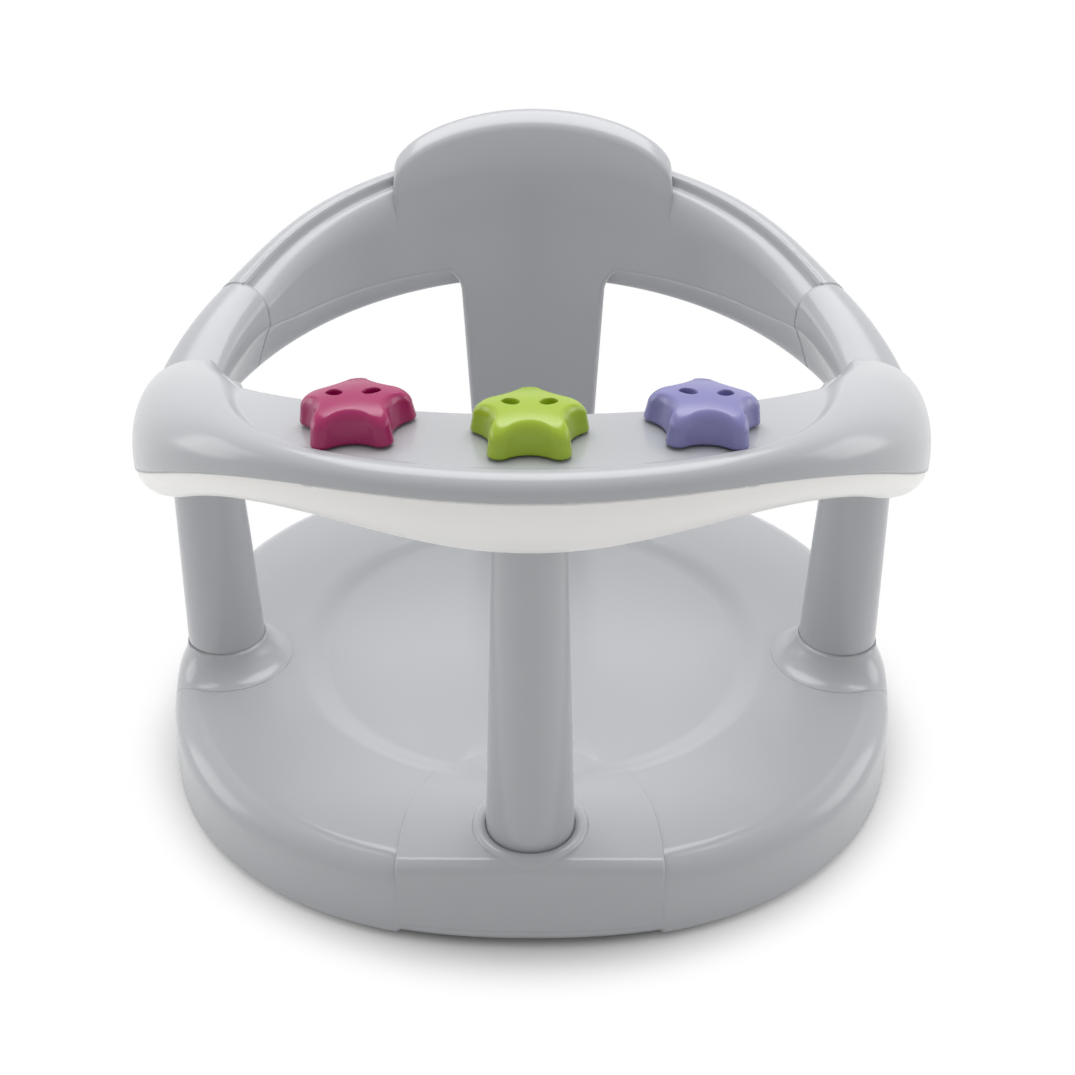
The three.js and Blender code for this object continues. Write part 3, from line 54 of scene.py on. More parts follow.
CAMERA_PLACE = Vector((0.003435, -0.621816, 0.463389))
CAMERA_RIGHT = Vector((0.999989, 0.004781, -0.000963))
CAMERA_UP = Vector((-0.001614, 0.510765, 0.859719))
CAMERA_SHIFT = 0.00505
FLOOR_RADIUS = 7.0
FLOOR_WHITE = (0.83, 0.83, 0.83, 1)
FLOOR_SHADOW_RADIUS = 0.172
FLOOR_WHITE_RADIUS = 0.206
SURROUND_WHITE = (1, 1, 1, 1)
SURROUND_FILL = 0.64
SURROUND_FRONT_SHARE = 0.85
ROOM_FRONT = -0.95
ROOM_BACK = 0.25
SOFTBOXES = {
    "top": ((0, 0.45, 1.5), 1.5, 1.0, 19),
    "left": ((-1.5, 0.2, 0.45), 0.8, 0.8, 4.2),
    "right": ((1.5, 0.2, 0.45), 0.8, 0.8, 4.2),
}
SOFTBOX_AIM = Vector((0, 0, 0.12))


def studio_floor():
    """A disc of 96 sides about the origin at height 0."""
    turn = np.linspace(0, 2 * np.pi, 96, endpoint=False)
    rim = FLOOR_RADIUS * np.stack([np.cos(turn), np.sin(turn), 0 * turn], -1)
    mesh = bpy.data.meshes.new("floor")
    mesh.from_pydata(rim.tolist(), [], [list(range(len(rim)))])
    floor = bpy.data.objects.new("floor", mesh)
    scene.collection.objects.link(floor)
    return floor


def feed(tree, node, sockets):
    """Gives each named socket its value, or the output that feeds it, by default a node's first."""
    for key, value in sockets.items():
        if isinstance(value, bpy.types.Node):
            value = value.outputs[0]
        if isinstance(value, bpy.types.NodeSocket):
            tree.links.new(value, node.inputs[key])
        else:
            node.inputs[key].default_value = value


def add_node(tree, kind, sockets=None, **settings):
    """A new shader node with its settings and sockets."""
    node = tree.nodes.new(f"ShaderNode{kind}")
    for key, value in settings.items():
        setattr(node, key, value)
    feed(tree, node, sockets or {})
    return node


def seen_directly(tree):
    """1 for camera, mirror and see-through rays, 0 for the rays that carry light."""
    rays = add_node(tree, "LightPath").outputs
    seen = rays["Is Camera Ray"]
    for kind in ("Is Glossy Ray", "Is Transmission Ray"):
        seen = add_node(tree, "Math", {0: seen, 1: rays[kind]}, operation="MAXIMUM")
    return seen


def floor_material():
    """White paper: plain diffuse with the object's shadow close round the object, going over to
    even white further out, for the camera and for what glossy plastic and steel reflect."""
    material = bpy.data.materials.new("white_paper")
    material.use_nodes = True
    tree = material.node_tree
    tree.nodes.clear()
    paper = add_node(tree, "BsdfDiffuse", {"Color": FLOOR_WHITE})
    far = add_node(tree, "Emission", {"Color": SURROUND_WHITE})
    place = add_node(tree, "TexCoord").outputs["Object"]
    distance = add_node(tree, "VectorMath", {0: place}, operation="LENGTH").outputs["Value"]
    fade = add_node(tree, "MapRange", {
        "Value": distance, "From Min": FLOOR_SHADOW_RADIUS, "From Max": FLOOR_WHITE_RADIUS,
    }, interpolation_type="SMOOTHSTEP")
    seen = add_node(tree, "MixShader", {0: fade, 1: paper, 2: far})
    choice = add_node(tree, "MixShader", {0: seen_directly(tree), 1: paper, 2: seen})
    add_node(tree, "OutputMaterial", {"Surface": choice})
    return material


floor = studio_floor()
floor.data.materials.append(floor_material())

# The room is darker in front of the object, on the camera's side; the camera sees it white
world = bpy.data.worlds.new("studio")
scene.world = world
world.use_nodes = True
tree = world.node_tree
tree.nodes.clear()
direction = add_node(tree, "TexCoord").outputs["Object"]
room = add_node(tree, "MapRange", {
    "Value": add_node(tree, "SeparateXYZ", {0: direction}).outputs["Y"],
    "From Min": ROOM_FRONT, "From Max": ROOM_BACK, "To Min": SURROUND_FRONT_SHARE,
}, interpolation_type="SMOOTHSTEP")
camera_ray = add_node(tree, "LightPath").outputs["Is Camera Ray"]
white = add_node(tree, "Math", {0: room, 1: camera_ray}, operation="MAXIMUM")
seen = add_node(tree, "Background", {"Color": SURROUND_WHITE, "Strength": white})
dimmed = add_node(tree, "Math", {0: room, 1: SURROUND_FILL}, operation="MULTIPLY")
fill = add_node(tree, "Background", {"Color": SURROUND_WHITE, "Strength": dimmed})
choice = add_node(tree, "MixShader", {0: seen_directly(tree), 1: fill, 2: seen})
add_node(tree, "OutputWorld", {"Surface": choice})

for name, (place, width, height, watts) in SOFTBOXES.items():
    softbox = bpy.data.lights.new(f"{name}_softbox", "AREA")
    softbox.shape = "RECTANGLE"
    softbox.size = width
    softbox.size_y = height
    softbox.energy = watts
    softbox_object = bpy.data.objects.new(f"{name}_softbox", softbox)
    facing = (SOFTBOX_AIM - Vector(place)).to_track_quat("-Z", "Y")
    softbox_object.matrix_world = Matrix.Translation(Vector(place)) @ facing.to_matrix().to_4x4()
    scene.collection.objects.link(softbox_object)

camera = bpy.data.objects.new("camera", bpy.data.cameras.new("camera"))
camera.data.sensor_width = 36
camera.data.lens = 50
camera.data.shift_x = CAMERA_SHIFT
camera.data.clip_end = 50
view_axes = Matrix((CAMERA_RIGHT, CAMERA_UP, CAMERA_RIGHT.cross(CAMERA_UP))).transposed()
camera.matrix_world = Matrix.Translation(CAMERA_PLACE) @ view_axes.to_4x4()
scene.collection.objects.link(camera)
scene.camera = camera
scene.view_settings.view_transform = "Standard"


# Suction cups: four soft bells of clear grey elastomer, pressed by their bulbs into bosses
# under the base. The lip lies on the floor, the bell is hollow below.

CUP_OFFSET = 95
CUP_PROFILE = [
    (0, 6.0), (6, 5.9), (12, 5.1), (17, 3.9), (21, 2.4), (23.6, 0.9), (24.6, 0.1), (26.4, 0),
    (27, 0.4), (26.8, 1.1), (25, 1.9), (21.5, 3.6), (17, 6.2), (13, 8.4), (10.2, 9.6), (9.2, 10.6),
    (9, 12.6), (8.4, 13.5), (4.6, 13.7), (4.2, 14.2), (4.2, 16.4), (4.6, 16.9), (6.0, 17.3),
    (6.2, 18.2), (6.0, 19.8), (4.8, 22.2), (3.0, 23.5), (0, 23.8),
]
RUBBER_COLOUR = (0.56, 0.58, 0.59)


def rounded(points, times=2, closed=False):
    """Cuts every corner at a quarter and three quarters of its sides, which tends to a smooth curve."""
    points = np.asarray(points, float)
    for _ in range(times):
        after = np.roll(points, -1, axis=0)
        near = 0.75 * points + 0.25 * after
        far = 0.25 * points + 0.75 * after
        cut = np.stack([near, far], 1).reshape(-1, *points.shape[1:])
        if closed:
            points = cut
        else:
            points = np.concatenate([points[:1], cut[:-2], points[-1:]])
    return points


def grid_mesh(name, points, close_rows=False, close_columns=True):
    """Quads between neighbours on a grid (rows, columns, xyz) in millimetres. Points that
    coincide at poles and seams are merged. Faces are turned outwards by their signed volume."""
    rows, columns = points.shape[:2]
    row = np.arange(rows if close_rows else rows - 1)[:, None]
    column = np.arange(columns if close_columns else columns - 1)[None, :]
    next_row = (row + 1) % rows
    next_column = (column + 1) % columns
    quads = np.stack([
        row * columns + column,
        row * columns + next_column,
        next_row * columns + next_column,
        next_row * columns + column,
    ], -1).reshape(-1, 4)
    place = points.reshape(-1, 3) * 0.001
    a, b, c, d = (place[quads[:, i]] for i in range(4))
    volume = np.einsum("ij,ij->", a, np.cross(b, c)) + np.einsum("ij,ij->", a, np.cross(c, d))
    if volume < 0:
        quads = quads[:, ::-1]
    mesh = bpy.data.meshes.new(name)
    mesh.from_pydata(place.tolist(), [], quads.tolist())
    merged = bmesh.new()
    merged.from_mesh(mesh)
    bmesh.ops.remove_doubles(merged, verts=merged.verts, dist=2e-6)
    merged.to_mesh(mesh)
    merged.free()
    mesh.polygons.foreach_set("use_smooth", np.ones(len(mesh.polygons), bool))
    mesh.update()
    return mesh


SLOT_MATERIALS = {}


def add_piece(name, points, slot, nodes_replaced=(), body="ring", **closing):
    """Makes the grid a piece with its slot's material. It rides on a body and stands for CAD nodes."""
    piece = bpy.data.objects.new(name, grid_mesh(name, points, **closing))
    piece.data.materials.append(SLOT_MATERIALS[slot])
    scene.collection.objects.link(piece)
    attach(piece, body)
    if nodes_replaced:
        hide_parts(*nodes_replaced)


def at(*coordinates):
    """Points from their coordinates, each a value or an array."""
    return np.stack(np.broadcast_arrays(*coordinates), -1)


def capped(points):
    """The rows with both ends closed, each at the middle of its row."""
    ends = np.broadcast_to(points.mean(1, keepdims=True), points.shape)
    return np.concatenate([ends[:1], points, ends[-1:]])


def whole_turn(steps):
    """Angles round a circle, in equal steps."""
    return np.linspace(0, 2 * np.pi, steps, endpoint=False)


def quarter_turn(steps):
    """Angles from 0 to a right angle."""
    return np.linspace(0, np.pi / 2, steps)


def turned(profile, sides=96, x=0, y=0):
    """A body of revolution: each (radius, height) is a row of points round a vertical axis."""
    radius, height = np.asarray(profile, float).T[..., None]
    turn = whole_turn(sides)
    return at(x + radius * np.cos(turn), y + radius * np.sin(turn), height)


CLOUD_SCALE = 14
FLOW_SCALE = 46
GRAIN_SCALE = 2400
GRAIN_DEPTH = 0.0002
PLASTIC_IOR = 1.49
PLASTIC_UNEVENNESS = 0.06


def moulded_skin_group():
    """What every moulding of this object shows: colour that drifts by a few parts in a hundred
    in broad clouds, as pigment does in the melt, gloss that is a little uneven where the melt
    flowed, and a fine satin grain in the height."""
    group = bpy.data.node_groups.new("moulded_skin", "ShaderNodeTree")
    for way, labels in (
        ("INPUT", ("Colour", "Drift", "Gloss", "Unevenness")),
        ("OUTPUT", ("Colour", "Roughness", "Height")),
    ):
        for label in labels:
            kind = "Color" if label == "Colour" else "Float"
            group.interface.new_socket(label, in_out=way, socket_type=f"NodeSocket{kind}")
    given = group.nodes.new("NodeGroupInput").outputs
    place = add_node(group, "TexCoord").outputs["Object"]
    clouds = add_node(group, "TexNoise", {"Vector": place, "Scale": CLOUD_SCALE, "Detail": 3})
    centred = add_node(group, "Math", {0: clouds, 1: 0.5}, operation="SUBTRACT")
    drift = add_node(group, "Math", {0: centred, 1: given["Drift"], 2: 1}, operation="MULTIPLY_ADD")
    tint = add_node(group, "VectorMath", {0: given["Colour"], "Scale": drift}, operation="SCALE")
    flow = add_node(group, "TexNoise", {
        "Vector": place, "Scale": FLOW_SCALE, "Detail": 2, "Distortion": 0.6,
    })
    level = add_node(group, "Math", {0: flow, 1: 0.5}, operation="SUBTRACT")
    rough = add_node(group, "Math", {
        0: level, 1: given["Unevenness"], 2: given["Gloss"],
    }, operation="MULTIPLY_ADD", use_clamp=True)
    grain = add_node(group, "TexNoise", {"Vector": place, "Scale": GRAIN_SCALE, "Detail": 2})
    result = group.nodes.new("NodeGroupOutput")
    feed(group, result, {"Colour": tint, "Roughness": rough, "Height": grain})
    return group


MOULDED_SKIN = moulded_skin_group()


def moulded_plastic(slot, colour, gloss, drift=0.03, grain=0.05):
    """Makes a slot's plastic: the moulded_skin effect feeds colour, roughness and a fine bump."""
    material = bpy.data.materials.new(slot)
    material.use_nodes = True
    tree = material.node_tree
    skin = add_node(tree, "Group", {
        "Colour": (*colour, 1), "Drift": drift, "Gloss": gloss, "Unevenness": PLASTIC_UNEVENNESS,
    }, node_tree=MOULDED_SKIN)
    given = skin.outputs
    bump = add_node(tree, "Bump", {"Strength": grain, "Distance": GRAIN_DEPTH, "Height": given["Height"]})
    feed(tree, tree.nodes["Principled BSDF"], {
        "IOR": PLASTIC_IOR, "Base Color": given["Colour"], "Roughness": given["Roughness"], "Normal": bump,
    })
    SLOT_MATERIALS[slot] = material
    return slot


RUBBER = moulded_plastic("cup_rubber", RUBBER_COLOUR, gloss=0.42, drift=0.05, grain=0.1)

CUP_PLACES = {
    f"{row}_{side}": (x, y)
    for row, y in (("front", -CUP_OFFSET), ("rear", CUP_OFFSET))
    for side, x in (("left", -CUP_OFFSET), ("right", CUP_OFFSET))
}
for name, (x, y) in CUP_PLACES.items():
    bell = turned(rounded(CUP_PROFILE), 96, x, y)
    add_piece(f"bell_suction_cup_{name}", bell, RUBBER, [f"suction_cup_{name}"])


# Base shell: one round, slightly squared moulding of grey polypropylene with a dished seat,
# a rolled edge, a wall and an open underside, all of one wall thickness.

BASE_HALF_WIDTH = 175
BASE_SQUARENESS = 2.28
BASE_TOP = 38
BASE_FOOT = 3
BASE_DRAFT = 1.2
BASE_EDGE_RADIUS = 12
BASE_WALL = 3
FOOT_RADIUS = 1.2
FOOT_TOP = BASE_FOOT + FOOT_RADIUS
BASE_COLUMNS = 600
DISH_RADIUS = 109
DISH_DEPTH = 5
DISH_SLOPE_WIDTH = 16
GREY_COLOUR = (0.425, 0.434, 0.455)

EDGE_START = BASE_HALF_WIDTH - BASE_EDGE_RADIUS
WALL_TOP = BASE_TOP - BASE_EDGE_RADIUS
DISH_OUTER = DISH_RADIUS + DISH_SLOPE_WIDTH / 2
DISH_INNER = DISH_RADIUS - DISH_SLOPE_WIDTH / 2

PAD_HALF_WIDTH = 55
PAD_CENTRE_Y = -160
PAD_LENGTH = 74
PAD_RISE = 0.9
PAD_NOSE_RADIUS = 6
PAD_NOSE_BACK_Y = -155.4
PAD_FACE_TOP = BASE_TOP + PAD_RISE - PAD_NOSE_RADIUS
PAD_FACE_FOOT = 8
PAD_RECESS = 1.2


def smoothstep(share):
    """0 to 1 with level ends: 3 s^2 - 2 s^3."""
    share = np.clip(share, 0, 1)
    return share * share * (3 - 2 * share)


def rounded_off(share, power):
    """1 at 0, falling ever more steeply to 0 at 1: (1 - s^p)^(1/p)."""
    return (1 - share ** power) ** (1 / power)


def superellipse(angle, half_x, half_y, exponent):
    """x = a cos^(2/n), y = b sin^(2/n), each with the sign of its cosine or sine."""
    power = 2 / exponent
    cosine = np.cos(angle)
    sine = np.sin(angle)
    x = half_x * np.sign(cosine) * np.abs(cosine) ** power
    return x, half_y * np.sign(sine) * np.abs(sine) ** power


def base_exponent(radius):
    """The outlines go from a circle in the middle to the squared outline at the edge."""
    return 2 + (BASE_SQUARENESS - 2) * (radius / BASE_HALF_WIDTH) ** 2


def base_radius(x, y):
    """The radius r of the outline through a point, from |x|^n + |y|^n = r^n; rounds of it settle r."""
    radius = np.hypot(x, y)
    for _ in range(8):
        exponent = base_exponent(radius)
        radius = (np.abs(x) ** exponent + np.abs(y) ** exponent) ** (1 / exponent)
    return radius


def base_top(x, y):
    """Height of the base's upper side: flat, down the dish's smooth slope inside, and round
    the edge's quarter circle outside."""
    radius = base_radius(x, y)
    dish = DISH_DEPTH * smoothstep((DISH_OUTER - radius) / DISH_SLOPE_WIDTH)
    past = np.clip(radius - EDGE_START, 0, BASE_EDGE_RADIUS)
    return BASE_TOP - dish - BASE_EDGE_RADIUS + np.sqrt(BASE_EDGE_RADIUS ** 2 - past ** 2)


def wall_y(x, radius):
    """The -Y side of the outline of that radius at x."""
    return -radius * rounded_off(np.minimum(1, np.abs(x) / radius), BASE_SQUARENESS)


PAD_NOSE_TOP_Y = wall_y(PAD_HALF_WIDTH, BASE_HALF_WIDTH) + PAD_NOSE_RADIUS


def face_y(x, height):
    """Front face under the pad: straight across at its top, the base's own outline at the
    foot, and in between in proportion to the height."""
    draft = BASE_DRAFT * np.clip((WALL_TOP - height) / (WALL_TOP - BASE_FOOT), 0, 1)
    share = np.clip((PAD_FACE_TOP - height) / (PAD_FACE_TOP - BASE_FOOT), 0, 1)
    straight = wall_y(PAD_HALF_WIDTH, BASE_HALF_WIDTH + draft)
    return straight + share * np.minimum(wall_y(x, BASE_HALF_WIDTH + draft) - straight, 0)


def pad_inside(x, y, height):
    """Millimetres inside the pad's outline, roughly: 0 on it and outside."""
    n = BASE_SQUARENESS
    behind = np.maximum(0, y - PAD_CENTRE_Y) / PAD_LENGTH
    reach = (np.abs(x / PAD_HALF_WIDTH) ** n + behind ** n) ** (1 / n)
    inside = np.minimum(PAD_HALF_WIDTH * (1 - reach), height - PAD_FACE_FOOT)
    return np.where(y < 0, np.maximum(0, inside), 0)


def dish_slope(share, height):
    """(radius, height) of points of the dish's slope, for a level that lies at that height."""
    return [(DISH_INNER + DISH_SLOPE_WIDTH * s, height - DISH_DEPTH * smoothstep(1 - s)) for s in share]


def base_outer_profile():
    """(radius, height) from the seat's centre over the dish's slope, the flat, the rolled edge
    and the drafted wall to the foot."""
    seat = [(r, BASE_TOP - DISH_DEPTH) for r in np.linspace(0, DISH_INNER, 10)[:-1]]
    flat = [(r, BASE_TOP) for r in np.linspace(DISH_OUTER, EDGE_START, 26)[1:-1]]
    turn = BASE_EDGE_RADIUS * np.exp(1j * np.linspace(np.pi / 2, 0, 26))
    edge = [(EDGE_START + t.real, WALL_TOP + t.imag) for t in turn]
    down = np.linspace(0, 1, 16)[1:-1]
    wall = [(BASE_HALF_WIDTH + BASE_DRAFT * s, WALL_TOP + (FOOT_TOP - WALL_TOP) * s) for s in down]
    return np.array(seat + dish_slope(np.linspace(0, 1, 22), BASE_TOP) + flat + edge + wall)


def base_inner_profile():
    """(radius, height) from the rounded foot up the inside of the wall and under the top."""
    outer = BASE_HALF_WIDTH + BASE_DRAFT - BASE_WALL / 2
    turn = np.linspace(0, np.pi, 9)
    foot = [(outer + BASE_WALL / 2 * math.cos(t), FOOT_TOP - FOOT_RADIUS * math.sin(t)) for t in turn]
    inner = BASE_HALF_WIDTH - BASE_WALL
    up = np.linspace(0.1, 1, 8)
    wall = [(inner + BASE_DRAFT * (1 - s), FOOT_TOP + (WALL_TOP - FOOT_TOP) * s) for s in up]
    turn = (BASE_EDGE_RADIUS - BASE_WALL) * np.exp(1j * quarter_turn(9)[1:])
    edge = [(EDGE_START + t.real, WALL_TOP + t.imag) for t in turn]
    under = BASE_TOP - BASE_WALL
    seat = [(r, under - DISH_DEPTH) for r in np.linspace(DISH_INNER, 0, 5)[1:]]
    return np.array(foot + wall + edge + dish_slope(np.linspace(1, 0, 12), under) + seat)


def base_shell_points():
    """Each (radius, height) of the profile is a row of points on the outline of that radius.
    Under the pad the skin is let down a little, and its front is drawn in to the pad's face."""
    outer = base_outer_profile()
    inner = base_inner_profile()
    profile = np.concatenate([outer, inner])
    turn = whole_turn(BASE_COLUMNS)
    radius = profile[:, 0, None]
    x, y = superellipse(turn, radius, radius, base_exponent(radius))
    z = np.broadcast_to(profile[:, 1, None], x.shape)
    is_outer = np.arange(len(profile))[:, None] < len(outer)
    recess = PAD_RECESS * np.clip(pad_inside(x, y, z) / 3, 0, 1)
    front = np.abs(x) < PAD_HALF_WIDTH
    limit = face_y(x, z) + np.where(is_outer, recess, BASE_WALL)
    y = np.where(front & (y < 0), np.maximum(y, limit), y)
    z = np.where(is_outer, z - recess * (z > WALL_TOP), z)
    return at(x, y, z)


GREY = moulded_plastic("grey_plastic", GREY_COLOUR, gloss=0.2)
add_piece("base_skin", base_shell_points(), GREY, ["base_shell"])


# Pad round the front leg: part of the base's moulding, raised a little inside a fine step,
# with a rounded nose that runs straight across the front.

PAD_STEP = 0.8
PAD_DEPTH = 3.1
PAD_COLUMNS = 220
PAD_UNDER_COLUMNS = 40
NOSE = 1
FACE = 2
FOOT = 3


def pad_height(x, y):
    """Height of the pad: the base's own surface raised, and level from the nose's back on."""
    raised = base_top(x, y) + PAD_RISE
    return np.where(y < PAD_NOSE_BACK_Y, BASE_TOP + PAD_RISE, raised)


def pad_points():
    """Rows run from the tip behind the leg to the front, over the nose and down the face. A row
    goes across the pad, round its small edge, and back underneath. Where a row has half width
    w, a point across is at x = a w for a from -1 to 1. A row is (edge x, edge y, height, the
    edge's outward x and y, tilt, kind)."""
    tip = np.linspace(np.pi / 2, 0, 72)
    half, back = superellipse(tip, PAD_HALF_WIDTH, PAD_LENGTH, BASE_SQUARENESS)
    lean = 2 * (BASE_SQUARENESS - 1) / BASE_SQUARENESS
    out_x = np.cos(tip) ** lean / PAD_HALF_WIDTH
    out_y = np.sin(tip) ** lean / PAD_LENGTH
    length = np.hypot(out_x, out_y)
    out_x, out_y = out_x / length, out_y / length
    rows = [(x, PAD_CENTRE_Y + y, 0, nx, ny, 0, 0) for x, y, nx, ny in zip(half, back, out_x, out_y)]
    rows += [(PAD_HALF_WIDTH, y, 0, 1, 0, 0, 0) for y in np.linspace(PAD_CENTRE_Y, PAD_NOSE_TOP_Y, 5)[1:]]
    for t in quarter_turn(26)[1:]:
        y = PAD_NOSE_TOP_Y - PAD_NOSE_RADIUS * math.sin(t)
        rows.append((PAD_HALF_WIDTH, y, PAD_FACE_TOP + PAD_NOSE_RADIUS * math.cos(t), 1, 0, t, NOSE))
    down = np.linspace(PAD_FACE_TOP, PAD_FACE_FOOT, 22)[1:]
    rows += [(PAD_HALF_WIDTH, 0, z, 1, 0, np.pi / 2, FACE) for z in down]
    rows += [(PAD_HALF_WIDTH, 0, PAD_FACE_FOOT - 1.5, 1, 0, np.pi / 2, FOOT)] * 2
    edge_x, edge_y, height, normal_x, normal_y, tilt, kind = np.array(rows, float).T
    step = PAD_STEP * np.where(kind >= FACE, 0.1 + 0.9 * smoothstep((height - WALL_TOP) / 7), 1)

    def surface(x, y):
        """Place of a point of the upper side, given its row's kind."""
        z = np.where(kind[:, None] >= NOSE, height[:, None], pad_height(x, y))
        front = face_y(x, z) + np.where(kind[:, None] == FOOT, 0.7, 0)
        return at(x, np.where(kind[:, None] >= FACE, front, y), z)

    edge_x_in = edge_x - normal_x * step
    edge_y_in = edge_y - normal_y * step
    across = np.sin(np.linspace(-np.pi / 2, np.pi / 2, PAD_COLUMNS))
    x = edge_x_in[:, None] * across
    top = surface(x, edge_y_in[:, None])
    inward = at(0, np.sin(tilt), -np.cos(tilt))[:, None, :]
    bend = quarter_turn(8)[1:]
    sink = np.linspace(0, 1, 4)[1:] * (PAD_DEPTH - PAD_STEP)

    def rim(side, corner):
        """Rounds the edge outwards, then goes down along the row's inward normal."""
        out = at(side * normal_x, normal_y, 0)[:, None, :] * step[:, None, None]
        sunk = inward * step[:, None, None]
        edge = corner + out * np.sin(bend)[:, None] + sunk * (1 - np.cos(bend))[:, None]
        return np.concatenate([edge, edge[:, -1:] + inward * sink[:, None]], 1)

    right = rim(1, top[:, -1:])
    left = rim(-1, top[:, :1])
    x_under = edge_x_in[:, None] * np.linspace(1, -1, PAD_UNDER_COLUMNS)
    under = surface(x_under, edge_y_in[:, None]) + inward * PAD_DEPTH
    points = np.concatenate([top, right, under, left[:, ::-1]], 1)
    points[-1] = points[-1].mean(0)
    return points


add_piece("leg_pad", pad_points(), GREY)


# Collars: where a leg meets the base. The side legs flare out over a wide foot with a crisp
# rim; the front leg stands in a low round bead on the pad.

LEG_RADIUS = 18.6
LEG_PLACES = {"front_leg": (0, -143.7), "left_leg": (-148.9, -19), "right_leg": (148.9, -19)}
FLARE_RADIUS = 30.5
FLARE_HEIGHT = 13
FLARE_POWER = 1.7
FLARE_RIM = 0.5
BEAD_RADIUS = 24.3
BEAD_HEIGHT = 2.3


def collar_points(x, y, profile, surface, columns=240):
    """A ring of rows at given distances from the leg's axis, each standing its rise above the
    surface below it. A row that would pass the base's outline is held just inside it."""
    turn = whole_turn(columns)
    radius, rise = profile.T[..., None]
    px = x + radius * np.cos(turn)
    py = y + radius * np.sin(turn)
    over = np.maximum(1, base_radius(px, py) / (BASE_HALF_WIDTH - 0.25))
    px, py = px / over, py / over
    return at(px, py, surface(px, py) + rise)


def flare_profile():
    """(distance, rise): up inside the bore, over the leg's side, then down a hollow curve to the
    rim's small step."""
    inner = LEG_RADIUS + 0.05
    share = np.sin(quarter_turn(40))
    hollow = FLARE_RIM + (FLARE_HEIGHT - FLARE_RIM) * (1 - rounded_off(1 - share, FLARE_POWER))
    flare = [(inner + (FLARE_RADIUS - inner) * s, h) for s, h in zip(share, hollow)]
    turn = quarter_turn(6)[1:]
    rim = [(FLARE_RADIUS + FLARE_RIM * math.sin(t), FLARE_RIM * math.cos(t)) for t in turn]
    skirt = [(FLARE_RADIUS + FLARE_RIM, -0.6), (FLARE_RADIUS, -1.2), (LEG_RADIUS + 4, -1.5), (inner, -1.5)]
    return np.array(flare + rim + skirt)


def bead_profile():
    """(distance, rise): a low half-round bead from the leg's crease to a fine outer step."""
    inner = LEG_RADIUS + 0.3
    turn = np.linspace(0.25 * np.pi, np.pi, 30)
    middle = (inner + BEAD_RADIUS) / 2
    width = (BEAD_RADIUS - inner) / 2
    bead = [(middle - width * math.cos(t), BEAD_HEIGHT * math.sin(t) ** 0.8) for t in turn]
    start = [(inner, -1), (inner, bead[0][1] * 0.6), (inner + 0.3, bead[0][1] * 0.9)]
    toe = [(BEAD_RADIUS + 0.5, -0.1), (BEAD_RADIUS + 0.5, -0.8), (inner + 1, -1.4)]
    return np.array(start + bead[:-1] + toe)


for name in ("left_leg", "right_leg"):
    flare = collar_points(*LEG_PLACES[name], flare_profile(), base_top)
    add_piece(f"{name}_flare", flare, GREY, close_rows=True)


def pad_surface(x, y):
    """The pad's height with its nose's round front."""
    past = np.clip(PAD_NOSE_TOP_Y - y, 0, PAD_NOSE_RADIUS)
    return pad_height(x, y) - PAD_NOSE_RADIUS + np.sqrt(PAD_NOSE_RADIUS ** 2 - past ** 2)


bead = collar_points(*LEG_PLACES["front_leg"], bead_profile(), pad_surface)
add_piece("front_leg_bead", bead, GREY, close_rows=True)


# Ribs and sockets: the base's underside, of the same moulding. A ring and six spokes stiffen
# the seat; round sockets take the legs and the cups' bulbs, and a flat one the column's foot.

RIB_THICKNESS = 2.2
RIB_RING_RADIUS = 62
RIB_FOOT = 21
RIB_MIDDLE = 30
RIB_COUNT = 6
SOCKET_RADIUS = 21.4
SOCKET_FOOT = 11.7
SOCKET_TOP = 36
SOCKET_HEIGHTS = (22, 30, SOCKET_TOP)
BOSS_RADIUS = 12.5
BOSS_HOLE_RADIUS = 4.5
BOSS_FOOT = 14
BOSS_PLATE = 2.4
BOSS_WALL = 2
TENON_SOCKET_HALF_WIDTH = 26.8
TENON_SOCKET_HALF_DEPTH = 8.8
TENON_SOCKET_Y = 151
TENON_SOCKET_FOOT = 14.7


def held_under(points):
    """Keeps points below the middle of the base's skin and behind its front face."""
    x, y, z = np.moveaxis(points, -1, 0)
    z = np.minimum(z, base_top(x, y) - BASE_WALL / 2)
    front = (np.abs(x) < PAD_HALF_WIDTH) & (y < 0)
    y = np.where(front, np.maximum(y, face_y(x, z) + BASE_WALL / 2), y)
    return at(x, y, z)


def spoke_points(turn):
    """Rows are stations outwards from the ring rib. A row goes down one side of the spoke, round
    its foot and up the other side into the skin."""
    reach = np.hypot(*superellipse(turn, BASE_HALF_WIDTH, BASE_HALF_WIDTH, BASE_SQUARENESS))
    out = np.linspace(RIB_RING_RADIUS, reach - BASE_WALL / 2, 40)[:, None]
    half = RIB_THICKNESS / 2
    side = half * np.array([-1, -1, -1, -0.6, 0.6, 1, 1, 1])
    up = np.array([RIB_FOOT, RIB_FOOT + 0.5, RIB_MIDDLE, BASE_TOP])
    height = np.concatenate([up[::-1], up])
    x = out * np.cos(turn) - side * np.sin(turn)
    y = out * np.sin(turn) + side * np.cos(turn)
    return capped(held_under(at(x, y, height)))


for i in range(RIB_COUNT):
    turn = 2 * math.pi * (i + 0.5) / RIB_COUNT
    add_piece(f"base_spoke_{i + 1}", spoke_points(turn), GREY)

